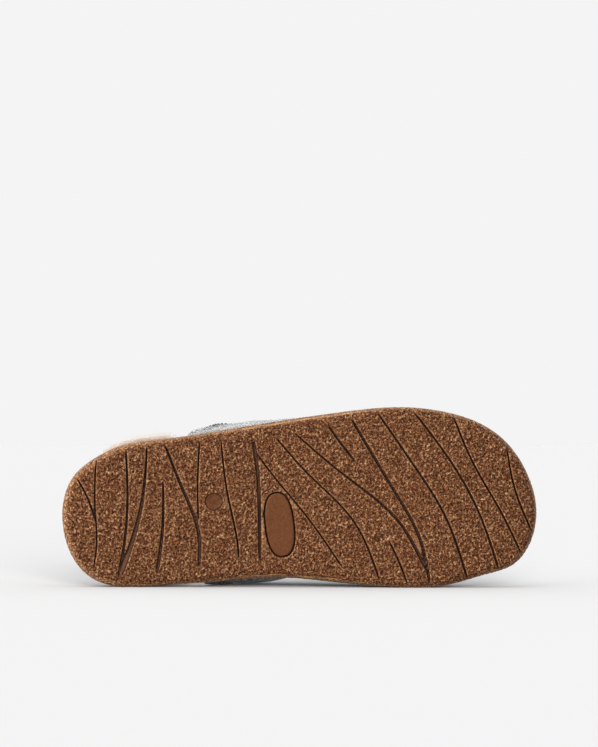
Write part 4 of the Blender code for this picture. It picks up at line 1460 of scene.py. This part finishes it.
# %% [markdown]
# Pile of the footbed
# The footbed's fleece is a dense, curly pile, as far forward as the eye reaches. One length for all would
# give a brush, so lengths vary. Hairs on the pad's side, and hairs whose tips would pass the sole's edge,
# are cut to a short stubble, because the sole hides the footbed all round. Only on the inner side of the
# heel, where the pile is pressed out between sole and floor, do they keep their length.

# %% Hairs on the footbed
PILE_HAIR = Hair(rise=0.8, lean=0.45, curl=0.7, radius=0.00014, rings=2)
PILE_COUNT = 18000
PILE_SPARE = 3
PILE_SEED = 51
PILE_LENGTH = 0.0044
PILE_LENGTHS = (0.6, 1.15)
PILE_LOWEST = 0.35 * PAD_HEIGHT
PILE_END = 0.205
PILE_SIDE_COSINE = 0.8
PRESSED_SPAN = (0.036, 0.084)
STUBBLE = 0.12
HEEL_STUBBLE = 0.25
HEEL_STUBBLE_RUN = (0.030, 0.012)

pile_draw = np.random.default_rng(PILE_SEED)
pile_roots, pile_normals = scatter(pad_surface, PILE_SPARE * PILE_COUNT, pile_draw)
pile_lift = pile_roots[:, 1] - seat_height(pile_roots[:, 0])
keep = np.flatnonzero((pile_lift > PILE_LOWEST) & (pile_roots[:, 0] < PILE_END))[:PILE_COUNT]
pile_roots, pile_normals = pile_roots[keep], pile_normals[keep]
pile_length = PILE_LENGTH * pile_draw.uniform(*PILE_LENGTHS, len(keep))
pile_rising, pile_bend = grow(pile_normals, PILE_HAIR, pile_draw)
pile_place = pile_roots[:, 0]
on_side = np.abs(pile_normals[:, 1]) < PILE_SIDE_COSINE
pressed = (pile_roots[:, 2] < 0) & (pile_place > PRESSED_SPAN[0]) & (pile_place < PRESSED_SPAN[1])
pile_tips = pile_roots + pile_length[:, None] * (pile_rising + pile_bend)
tip_angle = round_ends(pile_tips[:, 0] / LENGTH)
past_edge = (pile_tips[:, 2] > OUTER_EDGE(tip_angle)) | (pile_tips[:, 2] < -INNER_EDGE(tip_angle))
stubble = STUBBLE + HEEL_STUBBLE * ramp(pile_place, *HEEL_STUBBLE_RUN)
pile_length = np.where((on_side | past_edge) & ~pressed, stubble * pile_length, pile_length)
pile_mesh = hair_mesh("footbed_pile", PILE_HAIR, pile_roots, pile_rising, pile_bend, pile_length)
add_piece(pile_mesh, FLEECE, "cream_fleece", in_key=False)
print("hairs on the footbed:", len(keep))

# %% [markdown]
# Loose fuzz at the outer heel
# At the outer side of the heel a tuft of loose, very thin hairs stands out past the sole's edge and blurs
# it. Fat pile hairs would look like bristles there, so this fuzz has its own finer hair, most of it short,
# swept a little towards the toe, and a quite matt finish.

# %% Hairs at the outer heel
FUZZ_HAIR = Hair(rise=0.8, lean=0.35, curl=0.35, radius=0.000034, rings=3)
FUZZ_COUNT = 5200
FUZZ_SPARE = 60
FUZZ_SEED = 55
FUZZ_SPAN = (0.022, 0.060)
FUZZ_LENGTH = (0.0016, 0.0054)
FUZZ_SIDE_COSINE = 0.75
FUZZ_SWEEP = np.array([0.25, 0.0, 0.0])
FUZZ_CREAM = (220, 198, 180)


def fuzz_material():
    """Pale cream single hairs, quite matt."""
    material, _, shader = new_material("loose_fuzz", 1.0, Specular_IOR_Level=0.0, Sheen_Weight=0.3)
    shader.inputs["Base Color"].default_value = paint(*FUZZ_CREAM)
    return material


fuzz_draw = np.random.default_rng(FUZZ_SEED)
fuzz_roots, fuzz_normals = scatter(pad_surface, FUZZ_SPARE * FUZZ_COUNT, fuzz_draw)
outer_heel = (fuzz_roots[:, 2] > 0) & (fuzz_roots[:, 0] > FUZZ_SPAN[0]) & (fuzz_roots[:, 0] < FUZZ_SPAN[1])
keep = np.flatnonzero(outer_heel & (np.abs(fuzz_normals[:, 1]) < FUZZ_SIDE_COSINE))[:FUZZ_COUNT]
fuzz_roots, fuzz_normals = fuzz_roots[keep], fuzz_normals[keep]
fuzz_length = FUZZ_LENGTH[0] + (FUZZ_LENGTH[1] - FUZZ_LENGTH[0]) * fuzz_draw.uniform(size=len(keep)) ** 2
fuzz_rising, fuzz_bend = grow(fuzz_normals, FUZZ_HAIR, fuzz_draw, FUZZ_SWEEP)
fuzz_mesh = hair_mesh("heel_fuzz", FUZZ_HAIR, fuzz_roots, fuzz_rising, fuzz_bend, fuzz_length)
add_piece(fuzz_mesh, fuzz_material(), "cream_fleece")
print("loose hairs at the heel:", len(keep))

# %% [markdown]
# Pile of the lining and nap of the felt
# The lining has the same pile as the footbed, a little shorter, as far in as the eye reaches. The felt's
# nap is much finer: short single hairs that lie nearly flat and soften the outline. A bump alone would
# leave that outline hard.

# %% Hairs in the lining
LINING_HAIR = Hair(rise=1.0, lean=0.4, curl=0.5, radius=PILE_HAIR.radius, rings=2)
LINING_COUNT = 14000
LINING_SPARE = 2
LINING_SEED = 61
LINING_LENGTHS = (0.5, 0.9)
LINING_END = 0.20

lining_draw = np.random.default_rng(LINING_SEED)
upper_triangles = triangle_array(felt_mesh)
lining_surface = Surface(lining_inside, -felt_normals, upper_triangles)
lining_roots, lining_normals = scatter(lining_surface, LINING_SPARE * LINING_COUNT, lining_draw)
keep = np.flatnonzero(lining_roots[:, 0] < LINING_END)[:LINING_COUNT]
lining_roots, lining_normals = lining_roots[keep], lining_normals[keep]
lining_rising, lining_bend = grow(lining_normals, LINING_HAIR, lining_draw)
lining_length = PILE_LENGTH * lining_draw.uniform(*LINING_LENGTHS, len(keep))
lining_pile = hair_mesh("lining_pile", LINING_HAIR, lining_roots, lining_rising, lining_bend, lining_length)
add_piece(lining_pile, FLEECE, "cream_fleece", in_key=False)
print("hairs in the lining:", len(keep))

# %% Hairs on the felt
NAP_HAIR = Hair(rise=0.5, lean=0.5, curl=0.4, radius=0.00004, rings=1)
NAP_COUNT = 9000
NAP_SEED = 71
NAP_LENGTH = 0.0011
NAP_LENGTHS = (0.5, 1.3)

nap_draw = np.random.default_rng(NAP_SEED)
nap_roots, nap_normals = scatter(Surface(felt_skin, felt_normals, upper_triangles), NAP_COUNT, nap_draw)
nap_rising, nap_bend = grow(nap_normals, NAP_HAIR, nap_draw)
nap_length = NAP_LENGTH * nap_draw.uniform(*NAP_LENGTHS, NAP_COUNT)
nap_mesh = hair_mesh("felt_nap", NAP_HAIR, nap_roots, nap_rising, nap_bend, nap_length)
add_piece(nap_mesh, FELT, "grey_felt")
print("hairs on the felt:", NAP_COUNT)

# %% [markdown]
# Hem stitches
# The turned hem is held by one row of stitches in a thick grey thread, a few millimetres apart. A dashed
# line in the material would stay flat, so each stitch is a short fat bead of thread that dips into the felt
# at both ends: an elliptical section carried along a shallow arc. All beads come from one array.

# %% Stitches along the hem
STITCH_PITCH = 0.0046
STITCH_LENGTH = 0.0034
STITCH_RADIUS = 0.0006
STITCH_FROM_TOPLINE = 0.0085
STITCH_RINGS = 9
STITCH_SIDES = 8
# How far a stitch's middle stands up over its ends, and how deep it is sunk, as shares of its radius
STITCH_ARCH = 0.7
STITCH_SINK = 0.5
SEAM_START = 0.06
SEAM_POINTS = 600
SEAM_STEP = 0.004


def hem_line():
    """Fine points along the hem's seam and their normals, from the outer sole edge over the ridge to the
    inner one. A normal is square to the seam and to a short step forward on the felt."""
    sides = []
    for side in (1, -1):
        rise = np.linspace(SEAM_START, 1, SEAM_POINTS)
        place = (topline_place(side, rise) + STITCH_FROM_TOPLINE) / LENGTH
        swell = hem_swell(np.full(rise.shape, STITCH_FROM_TOPLINE))
        here = upper_section(place, side, rise, swell)
        ahead = upper_section(place + SEAM_STEP, side, rise, swell)
        normal = side * np.cross(ahead - here, np.gradient(here, axis=0))
        sides.append((here, normal / np.linalg.norm(normal, axis=1, keepdims=True)))
    (outer, outer_normal), (inner, inner_normal) = sides
    points = np.concatenate([outer, inner[-2::-1]])
    return points, np.concatenate([outer_normal, inner_normal[-2::-1]])


def stitch_mesh():
    """Beads of thread: along each stitch t runs from -1 to 1, the section's radius is the root of 1 - t
    squared, and the bead arches out of the felt by the same root."""
    line, normals = hem_line()
    reach = running_length(line)
    middles = np.arange(STITCH_PITCH, reach[-1] - STITCH_PITCH, STITCH_PITCH)
    share = np.linspace(-1, 1, STITCH_RINGS)
    place = middles[:, None] + share * STITCH_LENGTH / 2
    centre = np.stack([np.interp(place, reach, line[:, axis]) for axis in range(3)], axis=-1)
    normal = np.stack([np.interp(place, reach, normals[:, axis]) for axis in range(3)], axis=-1)
    onward = np.gradient(centre, axis=1)
    onward /= np.linalg.norm(onward, axis=-1, keepdims=True)
    across = np.cross(onward, normal)
    girth = np.sqrt(np.clip(1 - share ** 2, 0, 1))
    angle = np.linspace(0, 2 * np.pi, STITCH_SIDES, endpoint=False)
    centre = centre + normal * (STITCH_RADIUS * (STITCH_ARCH * girth - STITCH_SINK))[:, None]
    ring = np.cos(angle)[:, None] * across[..., None, :] + np.sin(angle)[:, None] * normal[..., None, :]
    points = centre[..., None, :] + STITCH_RADIUS * girth[:, None, None] * ring
    quads = grid_quads(STITCH_RINGS, STITCH_SIDES, closed=True)
    quads = quads[None] + (np.arange(len(middles)) * STITCH_RINGS * STITCH_SIDES)[:, None, None]
    return welded_mesh("hem_stitches", points, quads.reshape(-1, 4))


stitches_mesh = stitch_mesh()
stitch_volume = face_outwards(stitches_mesh)
print("thread in the stitches, cm3:", round(stitch_volume * CM3_IN_A_CUBIC_METRE, 2))

# %% Thread material and the stitches' piece
TWIST = Grain(1600, 2)
TWIST_STRETCH = (1.0, 0.5, 1.0)
THREAD_GREYS = ((0.35, (40, 41, 44)), (0.65, (92, 93, 96)))


def thread_material():
    """Mid-grey twisted thread: a fine noise drawn out along the stitch line."""
    material, tree, shader = new_material("hem_thread", 0.7, Sheen_Weight=0.2)
    twist = noise(tree, TWIST, TWIST_STRETCH)
    colour = colour_ramp(tree, twist, THREAD_GREYS)
    finish(tree, shader, colour, bump(tree, twist, strength=0.5, distance=0.0004))
    return material


add_piece(stitches_mesh, thread_material(), "grey_felt")

# %% [markdown]
# Light and floor
# The photo's shoe lies on a pale floor that melts into the background, in soft light from the left. One sun
# for all would burn the cream fleece out or leave the floor grey, so each wide sun has its own receivers:
# the key light falls on all but the fleece, a front fill on everything, a back fill on the shoe, and a low
# front sun on the floor alone. An even pale world adds the rest. The floor's paleness is worked out from
# the light that it gets, so that floor and background come out alike and only the contact shadow shows.

# %% Suns, even world and floor
BACKGROUND = 0.905
FLOOR_RADIUS = 6.0
FLOOR_RINGS = 9
FLOOR_SECTORS = 96
FLOOR_DROP = 0.0001
FLOOR_PIECES = bpy.data.collections.new("floor_pieces")

Sun = namedtuple("Sun", "name strength heading disc receivers")
SUNS = (
    Sun("left_key", 4.0, (0.70, 0.66, -0.28), math.radians(25), KEY_PIECES),
    Sun("front_fill", 0.9, (0.10, 0.75, -0.65), math.radians(60), None),
    Sun("back_fill", 1.3, (0.10, -0.97, -0.20), math.radians(60), SHOE_PIECES),
    Sun("floor_front", 9.0, (-0.08, 0.985, -0.13), math.radians(20), FLOOR_PIECES),
)


def grey(value):
    """One number as an opaque grey."""
    return (value, value, value, 1.0)


def add_sun(sun):
    """Wide sun that shines along its heading, on its receivers or on everything; returns the light that it
    gives the floor: its strength times the sine of its height, over pi."""
    data = bpy.data.lights.new(sun.name, "SUN")
    data.energy = sun.strength
    data.angle = sun.disc
    light = bpy.data.objects.new(sun.name, data)
    heading = np.array(sun.heading) / np.linalg.norm(sun.heading)
    side = np.cross((0.0, 0.0, 1.0), heading)
    side /= np.linalg.norm(side)
    axes = np.stack([side, np.cross(-heading, side), -heading], axis=1)
    light.matrix_world = Matrix(axes.tolist()).to_4x4()
    bpy.context.scene.collection.objects.link(light)
    if sun.receivers:
        light.light_linking.receiver_collection = sun.receivers
    on_floor = sun.receivers in (None, FLOOR_PIECES)
    return -heading[2] * sun.strength / math.pi if on_floor else 0.0


def add_world():
    """Even pale world."""
    world = bpy.data.worlds.new("pale_studio")
    world.use_nodes = True
    world.node_tree.nodes["Background"].inputs["Color"].default_value = grey(BACKGROUND)
    bpy.context.scene.world = world


def add_floor(sunlight):
    """Disc of rings round the origin whose colour returns exactly the background's light."""
    radius = FLOOR_RADIUS * np.linspace(0, 1, FLOOR_RINGS)[:, None] ** 2
    angle = np.linspace(0, 2 * np.pi, FLOOR_SECTORS, endpoint=False)
    flat = np.stack([radius * np.cos(angle), radius * np.sin(angle)], axis=-1)
    points = np.concatenate([flat, np.full((*flat.shape[:2], 1), -FLOOR_DROP)], axis=-1)
    mesh = welded_mesh("pale_floor", points, grid_quads(FLOOR_RINGS, FLOOR_SECTORS, closed=True))
    material, _, shader = new_material("pale_floor", 1.0, Specular_IOR_Level=0.0)
    share = BACKGROUND / (BACKGROUND + sunlight)
    shader.inputs["Base Color"].default_value = grey(share)
    mesh.materials.append(material)
    floor = bpy.data.objects.new("pale_floor", mesh)
    bpy.context.scene.collection.objects.link(floor)
    FLOOR_PIECES.objects.link(floor)
    return share


add_world()
floor_share_of_light = add_floor(sum(add_sun(sun) for sun in SUNS))
bpy.context.scene.view_settings.view_transform = "Standard"
print("floor returns", round(floor_share_of_light, 3), "of its light")
